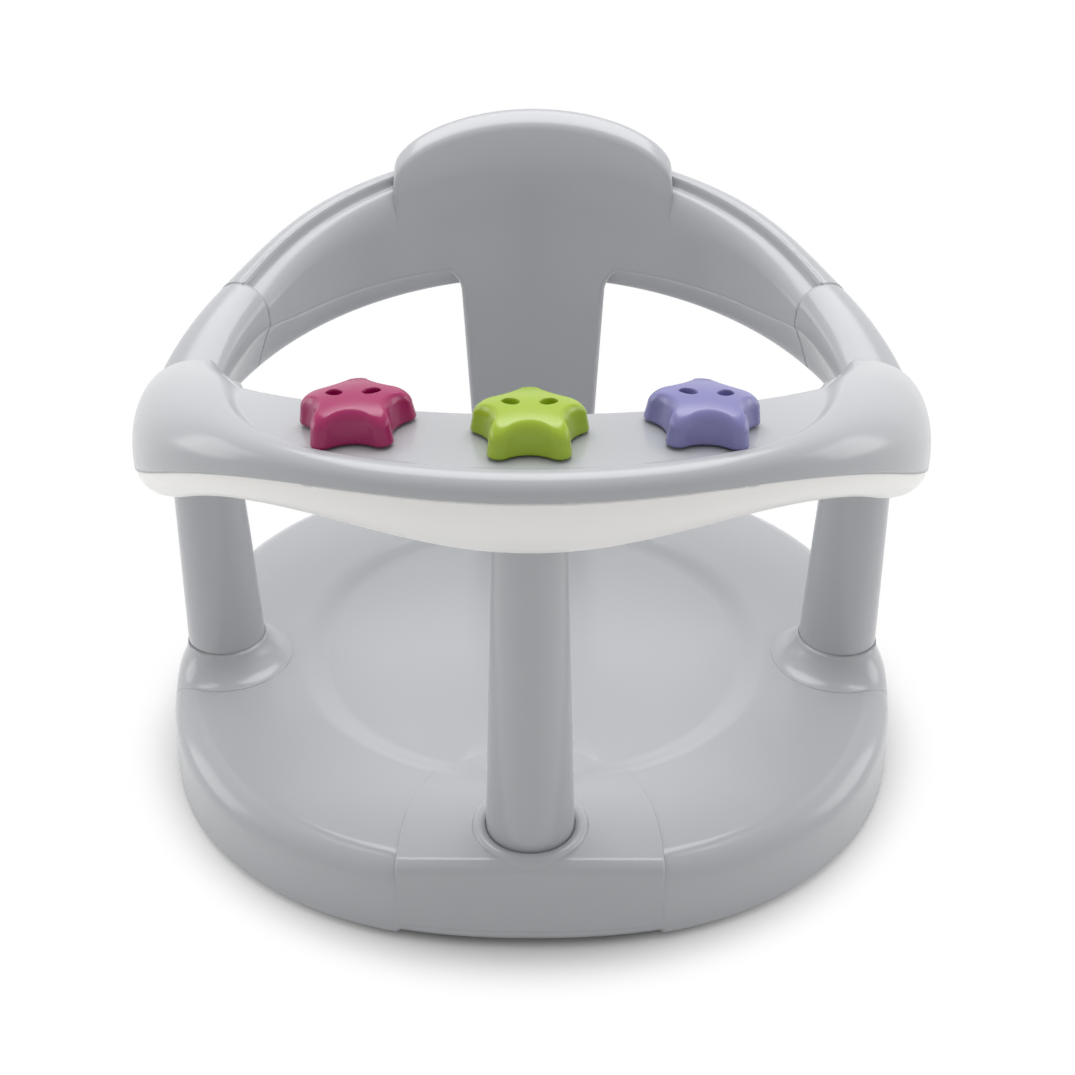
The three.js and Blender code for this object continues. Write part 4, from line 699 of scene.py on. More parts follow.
RING_RIB_PROFILE = [
    (RIB_RING_RADIUS, BASE_TOP), (RIB_RING_RADIUS, RIB_FOOT + 0.5), (RIB_RING_RADIUS + 0.5, RIB_FOOT),
    (RIB_RING_RADIUS + RIB_THICKNESS - 0.5, RIB_FOOT), (RIB_RING_RADIUS + RIB_THICKNESS, RIB_FOOT + 0.5),
    (RIB_RING_RADIUS + RIB_THICKNESS, BASE_TOP),
]
add_piece("base_ring_rib", held_under(turned(RING_RIB_PROFILE, 180)), GREY, close_rows=True)

SOCKET_PROFILE = [
    (0, SOCKET_FOOT), (SOCKET_RADIUS - 0.6, SOCKET_FOOT), (SOCKET_RADIUS, SOCKET_FOOT + 0.6),
    *((SOCKET_RADIUS, z) for z in SOCKET_HEIGHTS), (0, SOCKET_TOP),
]
for name, place in LEG_PLACES.items():
    add_piece(f"{name}_socket", held_under(turned(SOCKET_PROFILE, 120, *place)), GREY)

BOSS_PROFILE = [
    (BOSS_HOLE_RADIUS, BOSS_FOOT), (BOSS_RADIUS - 0.5, BOSS_FOOT), (BOSS_RADIUS, BOSS_FOOT + 0.5),
    (BOSS_RADIUS, BASE_TOP), (BOSS_RADIUS - BOSS_WALL, BASE_TOP),
    (BOSS_RADIUS - BOSS_WALL, BOSS_FOOT + BOSS_PLATE), (BOSS_HOLE_RADIUS, BOSS_FOOT + BOSS_PLATE),
]
for i, place in enumerate(CUP_PLACES.values()):
    add_piece(f"cup_boss_{i + 1}", held_under(turned(BOSS_PROFILE, 72, *place)), GREY, close_rows=True)


def tenon_socket_points():
    """A squared superellipse carried from its closed foot up into the skin."""
    turn = whole_turn(120)
    x, y = superellipse(turn, TENON_SOCKET_HALF_WIDTH, TENON_SOCKET_HALF_DEPTH, 9)
    foot = TENON_SOCKET_FOOT
    side = [(1, z) for z in SOCKET_HEIGHTS]
    rows = [(0, foot), (0.96, foot), (1, foot + 0.6), *side, (0, SOCKET_TOP)]
    return np.stack([at(size * x, TENON_SOCKET_Y + size * y, z) for size, z in rows])


add_piece("tenon_socket", tenon_socket_points(), GREY)


# Legs: three tapered posts of grey polypropylene, screwed from below through the base and
# into the tray's sockets above.

LEG_TAPER = 0.031
COLLAR_TOP = 42
LEG_FOOT = 15


def leg_profile(top):
    """(radius, height): a closed end below, the straight foot, the taper, and a rounded end above."""
    def radius(height):
        return LEG_RADIUS - LEG_TAPER * max(0, height - COLLAR_TOP)

    side = [(radius(z), z) for z in np.linspace(LEG_FOOT + 1, top - 1, 30)]
    return [(0, LEG_FOOT), (LEG_RADIUS - 1, LEG_FOOT), *side, (radius(top) - 1, top), (0, top)]


for name, place in LEG_PLACES.items():
    top = 1000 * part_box(name)[1].z
    add_piece(f"{name}_post", turned(leg_profile(top), 160, *place), GREY, [name])


# Tray base: the warm white bowl under the tray, one moulding with a wall of 2.5 mm. Its belly
# is deepest in the middle, where it takes the front leg.

RING_HALF_WIDTH = 179.88
RING_FRONT = 172
RING_BACK = 165
TRAY_INNER_HALF_WIDTH = 134
TRAY_INNER_FRONT = 114
TRAY_INNER_SQUARENESS = 2.3
TRAY_END = 93
TRAY_CAP = 10
TRAY_SURFACE_HEIGHT = 216.8
TRAY_SURFACE_DROP = 32
TRAY_DROP_ANGLE = 84
TRAY_DROP_POWER = 2.6
SEAM_HEIGHT = 209.6
SEAM_DROP = 61
DOME_POWER = 2.4
TRAY_INNER_LIP = 8
TRAY_WALL = 2.5
TRAY_BASE_STEP = 0.8
SEAM_GAP = 0.45
BELLY_DEPTH_SIDE = 15.3
BELLY_DEPTH_EXTRA = 16.4
BELLY_SPREAD = 28
BELLY_LOW_POINT = 0.45
BELLY_POWER = 2.05
BELLY_INNER_LOW_POINT = 0.86
TRAY_STATIONS = 301
WHITE_COLOUR = (0.88, 0.87, 0.845)


def ring_edge(angle, inset=0, back_inset=0):
    """Plan of the ring, or of a line inside it: an ellipse whose half depth is one value in
    front and another behind."""
    depth = np.where(np.cos(angle) > 0, RING_FRONT - inset, RING_BACK - back_inset)
    return at(-(RING_HALF_WIDTH - inset) * np.sin(angle), -depth * np.cos(angle))


def tray_inner_edge(angle):
    """Plan of the tray's inner edge: a superellipse, by the same angle from the front."""
    turn = -np.pi / 2 - angle
    return at(*superellipse(turn, TRAY_INNER_HALF_WIDTH, TRAY_INNER_FRONT, TRAY_INNER_SQUARENESS))


def ring_width(angle, inner_edge=tray_inner_edge):
    """Distance between the ring's outer edge and an inner one."""
    return np.linalg.norm(inner_edge(angle) - ring_edge(angle), axis=-1)


def drop_share(angle):
    """Part of the drop reached at an angle: (angle / 84 degrees)^2.6."""
    return (np.abs(np.degrees(angle)) / TRAY_DROP_ANGLE) ** TRAY_DROP_POWER


def surface_height(angle):
    """Height of the tray's surface at its inner edge."""
    return TRAY_SURFACE_HEIGHT - TRAY_SURFACE_DROP * drop_share(angle)


def seam_height(angle):
    """Height of the line between grey and white on the outside."""
    return SEAM_HEIGHT - SEAM_DROP * np.sin(angle) ** 4


def inner_seam_height(angle):
    """Height of that line on the inside."""
    return surface_height(angle) - TRAY_INNER_LIP


def end_cap(angle, span=TRAY_CAP):
    """Share of the height left near the ends, which are rounded off over the last degrees."""
    past = (np.abs(np.degrees(angle)) - (TRAY_END - span)) / span
    return rounded_off(np.clip(past, 0, 1), DOME_POWER)


def seam_at(angle, distance):
    """Height of the parting surface at a distance in from the outer edge."""
    share = distance / ring_width(angle)
    return seam_height(angle) * (1 - share) + inner_seam_height(angle) * share


def soft_bell(angle, middle, spread):
    """1 at the angle in the middle, e^-1 at the spread either side: a soft bell curve."""
    return np.exp(-(((np.abs(np.degrees(angle)) - middle) / spread) ** 2))


def belly_height(angle, share):
    """Underside of the bowl: down a rounded outside to the low line, level, and up a rounded inside."""
    seam = seam_height(angle)
    depth = BELLY_DEPTH_SIDE + BELLY_DEPTH_EXTRA * soft_bell(angle, 0, BELLY_SPREAD)
    bottom = seam - depth * end_cap(angle)
    rest = np.clip(1 - share / BELLY_LOW_POINT, 0, 1)
    outside = seam - (seam - bottom) * rounded_off(rest, BELLY_POWER)
    rise = np.clip((share - BELLY_INNER_LOW_POINT) / (1 - BELLY_INNER_LOW_POINT), 0, 1)
    inside = bottom + (inner_seam_height(angle) - bottom) * (1 - rounded_off(rise, DOME_POWER))
    return np.where(share < BELLY_LOW_POINT, outside, inside)


def place_sections(angle, sections, inner_edge):
    """Puts points (distance in from the outer edge, height) on the line from the outer to the
    inner edge at their angle."""
    outer = ring_edge(angle)
    inward = inner_edge(angle) - outer
    inward = inward / np.linalg.norm(inward, axis=-1, keepdims=True)
    return np.concatenate([outer + inward * sections[..., :1], sections[..., 1:]], -1)


def tray_angles():
    """A column of angles from end to end, closer together near both ends."""
    share = np.linspace(-1, 1, TRAY_STATIONS)[:, None]
    return np.radians(TRAY_END) * np.sin(share * np.pi / 2) * 0.5 + np.radians(TRAY_END) * share * 0.5


def tray_rows(angle, parts):
    """Sets sections round the tray, joined from parts (distance in, height) with a row for
    each angle. Both ends close at their middle."""
    sections = np.concatenate([at(*part) for part in parts], 1)
    points = place_sections(angle, sections, tray_inner_edge)
    points[[0, -1]] = points[[0, -1]].mean(1, keepdims=True)
    return points


def tray_base_points():
    """Rows are stations round the ring. A row goes under the belly from the outer seam to the
    inner one and back along the inside, a wall thickness above."""
    angle = tray_angles()
    inner = ring_width(angle) - TRAY_BASE_STEP
    span = inner - TRAY_BASE_STEP
    under_share = np.concatenate([
        BELLY_LOW_POINT * (1 - np.cos(quarter_turn(30))),
        np.linspace(BELLY_LOW_POINT, BELLY_INNER_LOW_POINT, 8)[1:],
        BELLY_INNER_LOW_POINT + (1 - BELLY_INNER_LOW_POINT) * np.sin(quarter_turn(18)[1:]),
    ])
    inside_share = np.linspace(0.995, 0.005, 24)
    inside_distance = TRAY_BASE_STEP + TRAY_WALL + (span - 2 * TRAY_WALL) * inside_share

    def lip(distance):
        """A point just below the parting surface."""
        return distance, seam_at(angle, distance) - SEAM_GAP

    inside = np.minimum(belly_height(angle, inside_share) + TRAY_WALL, lip(inside_distance)[1] - 0.2)
    return tray_rows(angle, [
        (TRAY_BASE_STEP + span * under_share, belly_height(angle, under_share) - SEAM_GAP),
        lip(inner), lip(inner - TRAY_WALL), (inside_distance, inside),
        lip(TRAY_BASE_STEP + TRAY_WALL), lip(TRAY_BASE_STEP),
    ])


WHITE = moulded_plastic("white_plastic", WHITE_COLOUR, gloss=0.34, drift=0.02)
add_piece("white_bowl", tray_base_points(), WHITE, ["tray_base"])


# Tray top: the grey half of the tray. In front it is a flat shelf with a rounded lip, and it
# swells into a high lobe at each end, where the arms plug in.

TRAY_RIDGE_HEIGHT = 218
TRAY_RIDGE_DROP = 23
LIP_WIDTH = 9.5
LIP_FALL = 3
LOBE_WIDTH = 35.5
LOBE_FALL = 4
LOBE_FALL_SHARE = 0.8
LOBE_START = 28
LOBE_FULL = 68
TRAY_SHELF_CAP = 26
TRAY_EDGE_RADIUS = 3.2


def tray_top_points():
    """Rows are stations round the ring. A row climbs a superellipse's quarter from the outer seam
    to the ridge, falls in a smooth step to the shelf, turns over the inner edge and comes
    back underneath. The shelf runs out sooner at the ends than the dome."""
    angle = tray_angles()
    width = ring_width(angle)
    lobe = smoothstep((np.abs(np.degrees(angle)) - LOBE_START) / (LOBE_FULL - LOBE_START))
    ridge = LIP_WIDTH + (LOBE_WIDTH - LIP_WIDTH) * lobe
    top = TRAY_RIDGE_HEIGHT - TRAY_RIDGE_DROP * drop_share(angle)
    seam = seam_height(angle)
    fall = LIP_FALL + (LOBE_FALL_SHARE * (width - LOBE_WIDTH) + LOBE_FALL - LIP_FALL) * lobe

    def shelf_at(distance):
        """Height inside the ridge: a smooth step down to the shelf."""
        return top + (surface_height(angle) - top) * smoothstep((distance - ridge) / fall)

    def lowered(distance, height):
        """The height with what the rounded ends leave of it above the parting surface."""
        base = seam_at(angle, distance)
        inner_share = smoothstep((distance - ridge) / (width - ridge))
        return base + (height - base) * end_cap(angle, TRAY_CAP + (TRAY_SHELF_CAP - TRAY_CAP) * inner_share)

    across, up = superellipse(quarter_turn(44), 1, 1, DOME_POWER)
    shelf_distance = ridge + (width - TRAY_EDGE_RADIUS - ridge) * np.linspace(0, 1, 60)[1:]
    shelf = shelf_at(shelf_distance)
    turn = quarter_turn(12)[1:]
    corner = shelf[:, -1:] - TRAY_EDGE_RADIUS * (1 - np.cos(turn))
    upper = [
        (ridge * (1 - across), seam + (top - seam) * up), (shelf_distance, shelf),
        (width - TRAY_EDGE_RADIUS * (1 - np.sin(turn)), corner),
        (width, corner[:, -1:] + (inner_seam_height(angle) - corner[:, -1:]) * np.array([0.35, 0.7, 1])),
    ]
    under_distance = TRAY_WALL + (width - 2 * TRAY_WALL) * np.linspace(0.97, 0.03, 30)
    ridge_part = np.clip(1 - under_distance / ridge, 0, 1)
    dome_under = seam + (top - seam) * rounded_off(ridge_part, DOME_POWER)
    under = lowered(under_distance, np.where(under_distance < ridge, dome_under, shelf_at(under_distance)))
    return tray_rows(angle, [(distance, lowered(distance, height)) for distance, height in upper] + [
        (width - TRAY_WALL, seam_at(angle, width - TRAY_WALL)),
        (under_distance, np.maximum(under - TRAY_WALL, seam_at(angle, under_distance) + 0.05)),
        (TRAY_WALL, seam_at(angle, TRAY_WALL)),
    ])


add_piece("tray_shelf", tray_top_points(), GREY, ["tray_top"])


# Arms: two short round tubes that plug into the lobes and take the arch's ends. The arch
# carries on from them at a fine seam.

ARCH_WIDTH = 31
ARCH_DEPTH_BACK = 22
ARM_START = 84
ARM_SEAM = 119
SADDLE_ANGLE = 98
ARCH_TOP_SIDE = 170.6
ARCH_TOP_RISE = 67.4
ARCH_TOP_DIP = 1.9
ARCH_DIP_ANGLE = 120
ARCH_DIP_SPREAD = 11
ARCH_BOTTOM_SIDE = 136.9
ARCH_BOTTOM_RISE = 31.7
ARCH_CREASE_SIDE = 158
ARCH_CREASE_RISE = 22
ARCH_CREASE_POWER = 0.6
ARCH_CREASE_LIFT = 3.5
ARCH_LIFT_ANGLE = 117
ARCH_LIFT_SPREAD = 8
ARCH_BEVEL_WIDTH = 10.5
CROWN_POWER = 2.4
ARM_SEAM_GAP = 0.04
ARM_TUCK = 8


def arch_inner_edge(angle):
    """Plan of the inner edge of arms and arch."""
    return ring_edge(angle, ARCH_WIDTH, ARCH_DEPTH_BACK)


def arch_heights(angle):
    """Top, bottom and crease heights: each rises with the sine of the way round the back. Near
    the arms' seams the top dips and the crease lifts by a soft bell curve."""
    past = np.abs(np.degrees(angle)) - SADDLE_ANGLE
    rise = np.sin(0.5 * np.pi * past / (180 - SADDLE_ANGLE))
    dip = ARCH_TOP_DIP * soft_bell(angle, ARCH_DIP_ANGLE, ARCH_DIP_SPREAD)
    lift = ARCH_CREASE_LIFT * soft_bell(angle, ARCH_LIFT_ANGLE, ARCH_LIFT_SPREAD)
    top = ARCH_TOP_SIDE + ARCH_TOP_RISE * rise - dip
    bottom = ARCH_BOTTOM_SIDE + ARCH_BOTTOM_RISE * rise
    crease = ARCH_CREASE_SIDE + ARCH_CREASE_RISE * np.maximum(0, rise) ** ARCH_CREASE_POWER + lift
    return top, bottom, crease


def corners(points):
    """Stacks pairs (distance in, height), each a value per station, to rows of corners."""
    return np.stack([at(*point) for point in points])


def bevel(width, bottom, crease):
    """Corners of the hollow bevel below the crease, down to the flat underside."""
    scale = width / ARCH_WIDTH
    return [
        (width - 0.5, crease - 0.4), (width - 1.6, crease - 1.6),
        (width - 0.6 * ARCH_BEVEL_WIDTH * scale, 0.5 * (crease + bottom) + 0.2),
        (width - ARCH_BEVEL_WIDTH * scale, bottom + 1), (width - (ARCH_BEVEL_WIDTH + 2.5) * scale, bottom),
    ]


def arm_section(angle):
    """Corners of the arm's section: outer wall, rounded crown, inner wall, crease and bevel. The
    first degrees narrow towards the end that sits in the lobe."""
    top, bottom, crease = arch_heights(angle)
    width = ring_width(angle, arch_inner_edge)
    spring = crease + 0.25 * (top - crease)
    turn = np.pi * np.arange(1, 16) / 16
    arc = superellipse(turn, 1, 1, CROWN_POWER)
    crown = [(0.5 * width * (1 - a), spring + (top - spring) * b) for a, b in zip(*arc)]
    section = corners([
        (0.13 * width, bottom), (0.03 * width, bottom + 2), (0, bottom + 6), (0, spring), *crown,
        (width, spring), (width, crease + 1), *bevel(width, bottom, crease),
    ])
    tuck = 1 - 0.55 * smoothstep((ARM_START + ARM_TUCK - np.degrees(angle)) / ARM_TUCK)
    middle = at(0.5 * width, 0.5 * (top + bottom))
    return middle + (section - middle) * tuck[:, None]


def ring_points(section, start, end, stations):
    """Rows are stations round the ring between two angles in degrees, each the smoothed
    section there. The first and last rows are drawn in a little, and close at their middle."""
    angle = np.radians(np.linspace(start, end, stations))
    loops = rounded(section(angle), 2, closed=True).swapaxes(0, 1)
    points = place_sections(angle[:, None], loops, arch_inner_edge)
    middle = points.mean(1, keepdims=True)
    drawn = middle + 0.992 * (points - middle)
    return capped(np.concatenate([drawn[:1], points, drawn[-1:]]))


arm_points = ring_points(arm_section, ARM_START, ARM_SEAM - ARM_SEAM_GAP, 80)
add_piece("left_arm_tube", arm_points, GREY, ["left_arm"])
add_piece("right_arm_tube", arm_points * np.array([-1, 1, 1]), GREY, ["right_arm"])


# Backrest: arch, panel and column are one grey moulding. The arch has a raised rim along its
# top and a bevel below; the panel stands a little proud of it and its seams fade out below.

ARCH_BLEND = 25
ARCH_CROWN_DEPTH = 9.8
BAND_FALL = 4.8
BAND_DEPTH = 14
BAND_GROWTH = 45
PANEL_PROUD = 2
PANEL_FLUSH = 0.03
PANEL_FOOT = 185
PANEL_SEAM_FOOT = 195
PANEL_SEAM_FADE = 40
PANEL_HALF_WIDTH = 72
PANEL_SHOULDER_HEIGHT = 232
PANEL_TOP_HEIGHT = 259
PANEL_TOP_FALL = 4.3
PANEL_LEAN = 7.5
PANEL_LEAN_REACH = 38
PANEL_THICKNESS = 22
PANEL_TOP_THICKNESS = 14.2
PANEL_REAR_FADE = 26
PANEL_SIDE_RADIUS = 1.8
PANEL_EDGE_START = 5
PANEL_EDGE = [
    (0.6, -3.1), (1.7, -1.3), (3.4, 0.2), (5.6, 1.5), (8, 2.8), (10.2, 3.7), (11.9, 4.1), (13, 3.7),
    (13.8, 2.2), (14.1, 0),
]
COLUMN_HALF_WIDTH_TOP = 38.5
COLUMN_TAPER = 0.05
COLUMN_FILLET = 15.5
COLUMN_TOP = 180
COLUMN_THICKNESS = 18
COLUMN_EDGE_RADIUS = 3
COLUMN_FOOT = 38.3


def arch_section(angle):
    """Corners of the arch's section: outer wall and crown, raised rim, groove, the band's quarter
    ellipse, inner wall, crease and bevel. Towards the arms the outer crown becomes theirs."""
    angle = np.minimum(angle, 2 * np.pi - angle)
    top, bottom, crease = arch_heights(angle)
    width = ring_width(angle, arch_inner_edge)
    past_arm = np.degrees(angle) - ARM_SEAM
    near_arm = smoothstep(1 - past_arm / ARCH_BLEND)
    depth = ARCH_CROWN_DEPTH + (0.75 * (top - crease) - ARCH_CROWN_DEPTH) * near_arm
    apex = (0.36 + 0.1 * near_arm) * width
    turn = quarter_turn(9)
    out, up = superellipse(turn, 1, 1, CROWN_POWER)
    crown = [(apex * (1 - a), top - depth * (1 - b)) for a, b in zip(out, up)]
    rim = [
        (0.5 * (apex + 0.5 * width), top - 0.5), (0.5 * width, top - 0.2), (0.525 * width, top + 0.4),
        (0.55 * width, top + 0.2), (0.575 * width, top - 0.9), (0.585 * width, top - 2.6),
        (0.6 * width, top - 4), (0.63 * width, top - 4.6), (0.66 * width, top - BAND_FALL),
    ]
    band_foot = top - BAND_DEPTH * (1 + smoothstep(past_arm / BAND_GROWTH))
    band_rise = top - BAND_FALL - band_foot
    band = [
        (width * (1 - 0.34 * (1 - math.sin(t))), band_foot + band_rise * math.cos(t)) for t in turn[1:]
    ]
    return corners([
        (0.13 * width, bottom), (0.03 * width, bottom + 2), (0, bottom + 6), *crown, *rim, *band,
        (width, 0.5 * (band_foot + crease)), (width, crease + 1.6), (width, crease + 0.6),
        *bevel(width, bottom, crease),
    ])


arch_points = ring_points(arch_section, ARM_SEAM + ARM_SEAM_GAP, 360 - ARM_SEAM - ARM_SEAM_GAP, 300)
add_piece("arch_band", arch_points, GREY, ["backrest"])


def back_face_y(x, proud):
    """Front face of panel and column: the arch's inner face, or as far in front of it as asked."""
    share = x / (RING_HALF_WIDTH - ARCH_WIDTH)
    return (RING_BACK - ARCH_DEPTH_BACK) * np.sqrt(1 - share ** 2) - proud


def panel_points():
    """Rows are stations across the panel. A row climbs the front, which comes out of the arch's
    face and leans back by the square of its way to the top, crosses the soft top edge and
    goes down the rear. Towards both sides the rows are drawn in by 1 - sqrt(1 - s^2)."""
    flat = PANEL_HALF_WIDTH - PANEL_SIDE_RADIUS
    bend = quarter_turn(9)[1:]
    middle = flat * np.sin(quarter_turn(90))
    half = np.concatenate([middle, flat + PANEL_SIDE_RADIUS * np.sin(bend)])
    inset = np.concatenate([0 * middle, PANEL_SIDE_RADIUS * (1 - np.cos(bend))])
    x = np.concatenate([-half[:0:-1], half])
    inset = np.concatenate([inset[:0:-1], inset])
    crown = np.sqrt(1 - np.clip(np.abs(x) / PANEL_HALF_WIDTH, 0, 1) ** 2)
    top = PANEL_SHOULDER_HEIGHT + (PANEL_TOP_HEIGHT - PANEL_SHOULDER_HEIGHT) * crown
    edge = top - PANEL_TOP_FALL
    share = np.concatenate([[0, 0.002, 0.003], np.linspace(0.01, 1, 80)])[:, None]
    front_z = PANEL_FOOT + (edge - PANEL_EDGE_START - PANEL_FOOT) * share
    faded = smoothstep((front_z - PANEL_SEAM_FOOT) / PANEL_SEAM_FADE)
    proud = PANEL_FLUSH + (PANEL_PROUD - PANEL_FLUSH) * faded
    lean = PANEL_LEAN * np.clip(1 - (edge - front_z) / PANEL_LEAN_REACH, 0, 1) ** 2
    dive = np.where(share == 0, 1.5, 0)
    front = at(lean + dive - proud, front_z)
    start = front[-1, :, 0]
    over = corners([(start + back, edge + up) for back, up in PANEL_EDGE])
    rear_z = edge + (PANEL_FOOT + 6 - edge) * np.linspace(0.05, 1, 24)[:, None]
    thicker = PANEL_THICKNESS - PANEL_TOP_THICKNESS - start
    rear_y = start + PANEL_TOP_THICKNESS + thicker * smoothstep((edge - rear_z) / PANEL_REAR_FADE)
    rear = at(rear_y, rear_z)
    closing = corners([(18 + 0 * x, PANEL_FOOT + 1), (9 + 0 * x, PANEL_FOOT)])
    section = rounded(np.concatenate([front, over, rear, closing]), 1, closed=True)
    along = np.roll(section, -1, axis=0) - np.roll(section, 1, axis=0)
    along = along / np.maximum(np.linalg.norm(along, axis=-1, keepdims=True), 1e-9)
    inward = at(along[..., 1], -along[..., 0])
    section = (section + inward * inset[:, None]).swapaxes(0, 1)
    x = x[:, None]
    return capped(at(x, back_face_y(x, 0) + section[..., 0], section[..., 1]))


def column_points():
    """Rows are heights from the foot up the taper and round the fillet's quarter circle. A row
    crosses the front, rounds the edge along the outline's outward direction, goes back along
    the side and crosses the rear. The last row closes on the curve halfway through the column."""
    spring = COLUMN_TOP - COLUMN_FILLET
    turn = quarter_turn(50)
    straight = np.linspace(COLUMN_FOOT, spring, 60)[:-1]
    z = np.concatenate([straight, spring + COLUMN_FILLET * np.sin(turn)])
    spread = np.concatenate([COLUMN_TAPER * (straight - spring), COLUMN_FILLET * (1 - np.cos(turn))])
    w = COLUMN_HALF_WIDTH_TOP + spread
    out_w = np.concatenate([0 * straight + 1, np.cos(turn)])
    out_z = np.concatenate([0 * straight, -np.sin(turn)])
    radius = COLUMN_EDGE_RADIUS
    w_in = w - out_w * radius
    z_in = z - out_z * radius
    across = np.sin(np.linspace(-np.pi / 2, np.pi / 2, 120))

    def face(a, depth):
        """A crossing of the column at a depth behind its front face."""
        x = w_in[:, None] * a
        return at(x, back_face_y(x, 0) + depth, z_in[:, None])

    bend = quarter_turn(9)[1:]
    push = np.concatenate([np.sin(bend), np.ones(3), np.cos(bend)[:-1]])[None, :]
    depth = np.concatenate([
        radius * (1 - np.cos(bend)), radius + (COLUMN_THICKNESS - 2 * radius) * np.array([0.25, 0.5, 0.75]),
        COLUMN_THICKNESS - radius * (1 - np.sin(bend))[:-1],
    ]) - PANEL_FLUSH

    def rim(side):
        """Edge rounding, side and rear edge rounding at one end of the rows."""
        x0 = side * w_in[:, None]
        x = x0 + side * (w - w_in)[:, None] * push
        return at(x, back_face_y(x0, 0) + depth, z_in[:, None] + (z - z_in)[:, None] * push)

    rear = face(across[::-1], COLUMN_THICKNESS - PANEL_FLUSH)
    points = np.concatenate([face(across, -PANEL_FLUSH), rim(1), rear, rim(-1)[:, ::-1]], 1)
    x = points[-1:, :, 0]
    lid = at(x, back_face_y(x, 0) + COLUMN_THICKNESS / 2, z_in[-1])
    return np.concatenate([capped(points)[:-1], lid])


add_piece("back_panel", panel_points(), GREY)
add_piece("back_column", column_points(), GREY)


# Star toys: each a puffy five-pointed star of gloss plastic on a hub, held under the tray by a
# washer and a screw. It spins on the hub. Two sunk slots are its eyes.

STAR_TIP = 21.8
STAR_TIP_RADIUS = 4.2
STAR_WAIST = 15
STAR_LIFT = 1
STAR_TOP = 15.2
STAR_DROOP = 4.2
STAR_EDGE_HEIGHT = 4.4
STAR_EDGE_SHARE = 0.22
STAR_FLARE = 0.045
STAR_PLACE = 0.62
SLOT_LENGTH = 7
SLOT_WIDTH = 4.3
SLOT_OFFSET_X = 6.9
SLOT_OFFSET_Y = 0.6
SLOT_TURN = 40
SLOT_DEPTH = 5
SLOT_POWER = 2.2
SLOT_RIM = 0.3
HUB_RADIUS = 5
HUB_FOOT = -6.8
STARS = {
    "left": (23.3, "magenta", (0.32, 0.003, 0.092)),
    "centre": (0, "green", (0.31, 0.44, 0.018)),
    "right": (-23.3, "violet", (0.195, 0.188, 0.405)),
}


def star_outline(steps):
    """A tip circle on each of five axes and a hollow arc between two tips that touches both, as
    complex numbers x + iy. It starts at the tip that points back."""
    fifth = 2 * np.pi / 5
    tip_centre = STAR_TIP - STAR_TIP_RADIUS
    ahead = 2 * tip_centre * math.cos(fifth / 2)
    top = tip_centre ** 2 + STAR_WAIST ** 2 - ahead * STAR_WAIST - STAR_TIP_RADIUS ** 2
    hollow = top / (ahead + 2 * STAR_TIP_RADIUS - 2 * STAR_WAIST)
    hollow_centre = (STAR_WAIST + hollow) * np.exp(0.5j * fifth)
    lean = np.angle(hollow_centre - tip_centre)
    tip = tip_centre + STAR_TIP_RADIUS * np.exp(1j * np.linspace(0, lean, steps))
    on_hollow = np.linspace(lean + np.pi, fifth / 2 + np.pi, 2 * steps)[1:]
    half = np.concatenate([tip, hollow_centre + hollow * np.exp(1j * on_hollow)])
    whole = np.concatenate([half, half[-2:0:-1].conj() * np.exp(1j * fifth)])
    return (np.exp(1j * (np.pi / 2 + fifth * np.arange(5)))[:, None] * whole).ravel()


def slot_sink(x, y):
    """Depth of the two slots at a point: full inside a lens shape, none outside, with a rounded rim."""
    depth = 0 * x
    for side in (-1, 1):
        a = side * math.radians(SLOT_TURN)
        dx = x - side * SLOT_OFFSET_X
        dy = y - SLOT_OFFSET_Y
        along = (dx * math.cos(a) + dy * math.sin(a)) / (SLOT_LENGTH / 2)
        over = (-dx * math.sin(a) + dy * math.cos(a)) / (SLOT_WIDTH / 2)
        reach = (np.abs(along) ** SLOT_POWER + np.abs(over) ** SLOT_POWER) ** (1 / SLOT_POWER)
        depth = np.maximum(depth, SLOT_DEPTH * smoothstep((1.12 - reach) / SLOT_RIM))
    return depth


def star_points():
    """Rows go from the middle of the domed top out to the edge, round it, down the wall, in
    under the star and down the hub. A row is the outline times its share."""
    outline = star_outline(16)
    flat = 1 - STAR_EDGE_SHARE
    edge = flat + STAR_EDGE_SHARE * np.sin(quarter_turn(22)[1:])
    share = np.concatenate([np.linspace(0, flat, 90), edge])[:, None]
    bend = np.clip((share - flat) / STAR_EDGE_SHARE, 0, 1)
    x = share * outline.real
    y = share * outline.imag
    dome = STAR_TOP - STAR_DROOP * (np.hypot(x, y) / STAR_TIP) ** 2
    top = dome - STAR_EDGE_HEIGHT * (1 - np.sqrt(1 - bend ** 2)) - slot_sink(x, y)
    down = np.linspace(0, 1, 10)[1:, None]
    wall = top[-1] + (STAR_LIFT + 0.5 - top[-1]) * down
    side = (1 + STAR_FLARE * down) * outline
    parts = [at(x, y, top), at(side.real, side.imag, wall)]
    hub = HUB_RADIUS * outline / np.abs(outline)
    for row, z in (
        (1.035 * outline, STAR_LIFT + 0.1), (outline, STAR_LIFT), (0.9 * outline, STAR_LIFT),
        (hub, STAR_LIFT), (hub, HUB_FOOT), (0 * hub, HUB_FOOT),
    ):
        parts.append(at(row.real, row.imag, z)[None])
    return np.concatenate(parts)


def tray_point(angle, share):
    """A point of the plan at a share of the way in from the outer edge."""
    return ring_edge(angle) * (1 - share) + tray_inner_edge(angle) * share


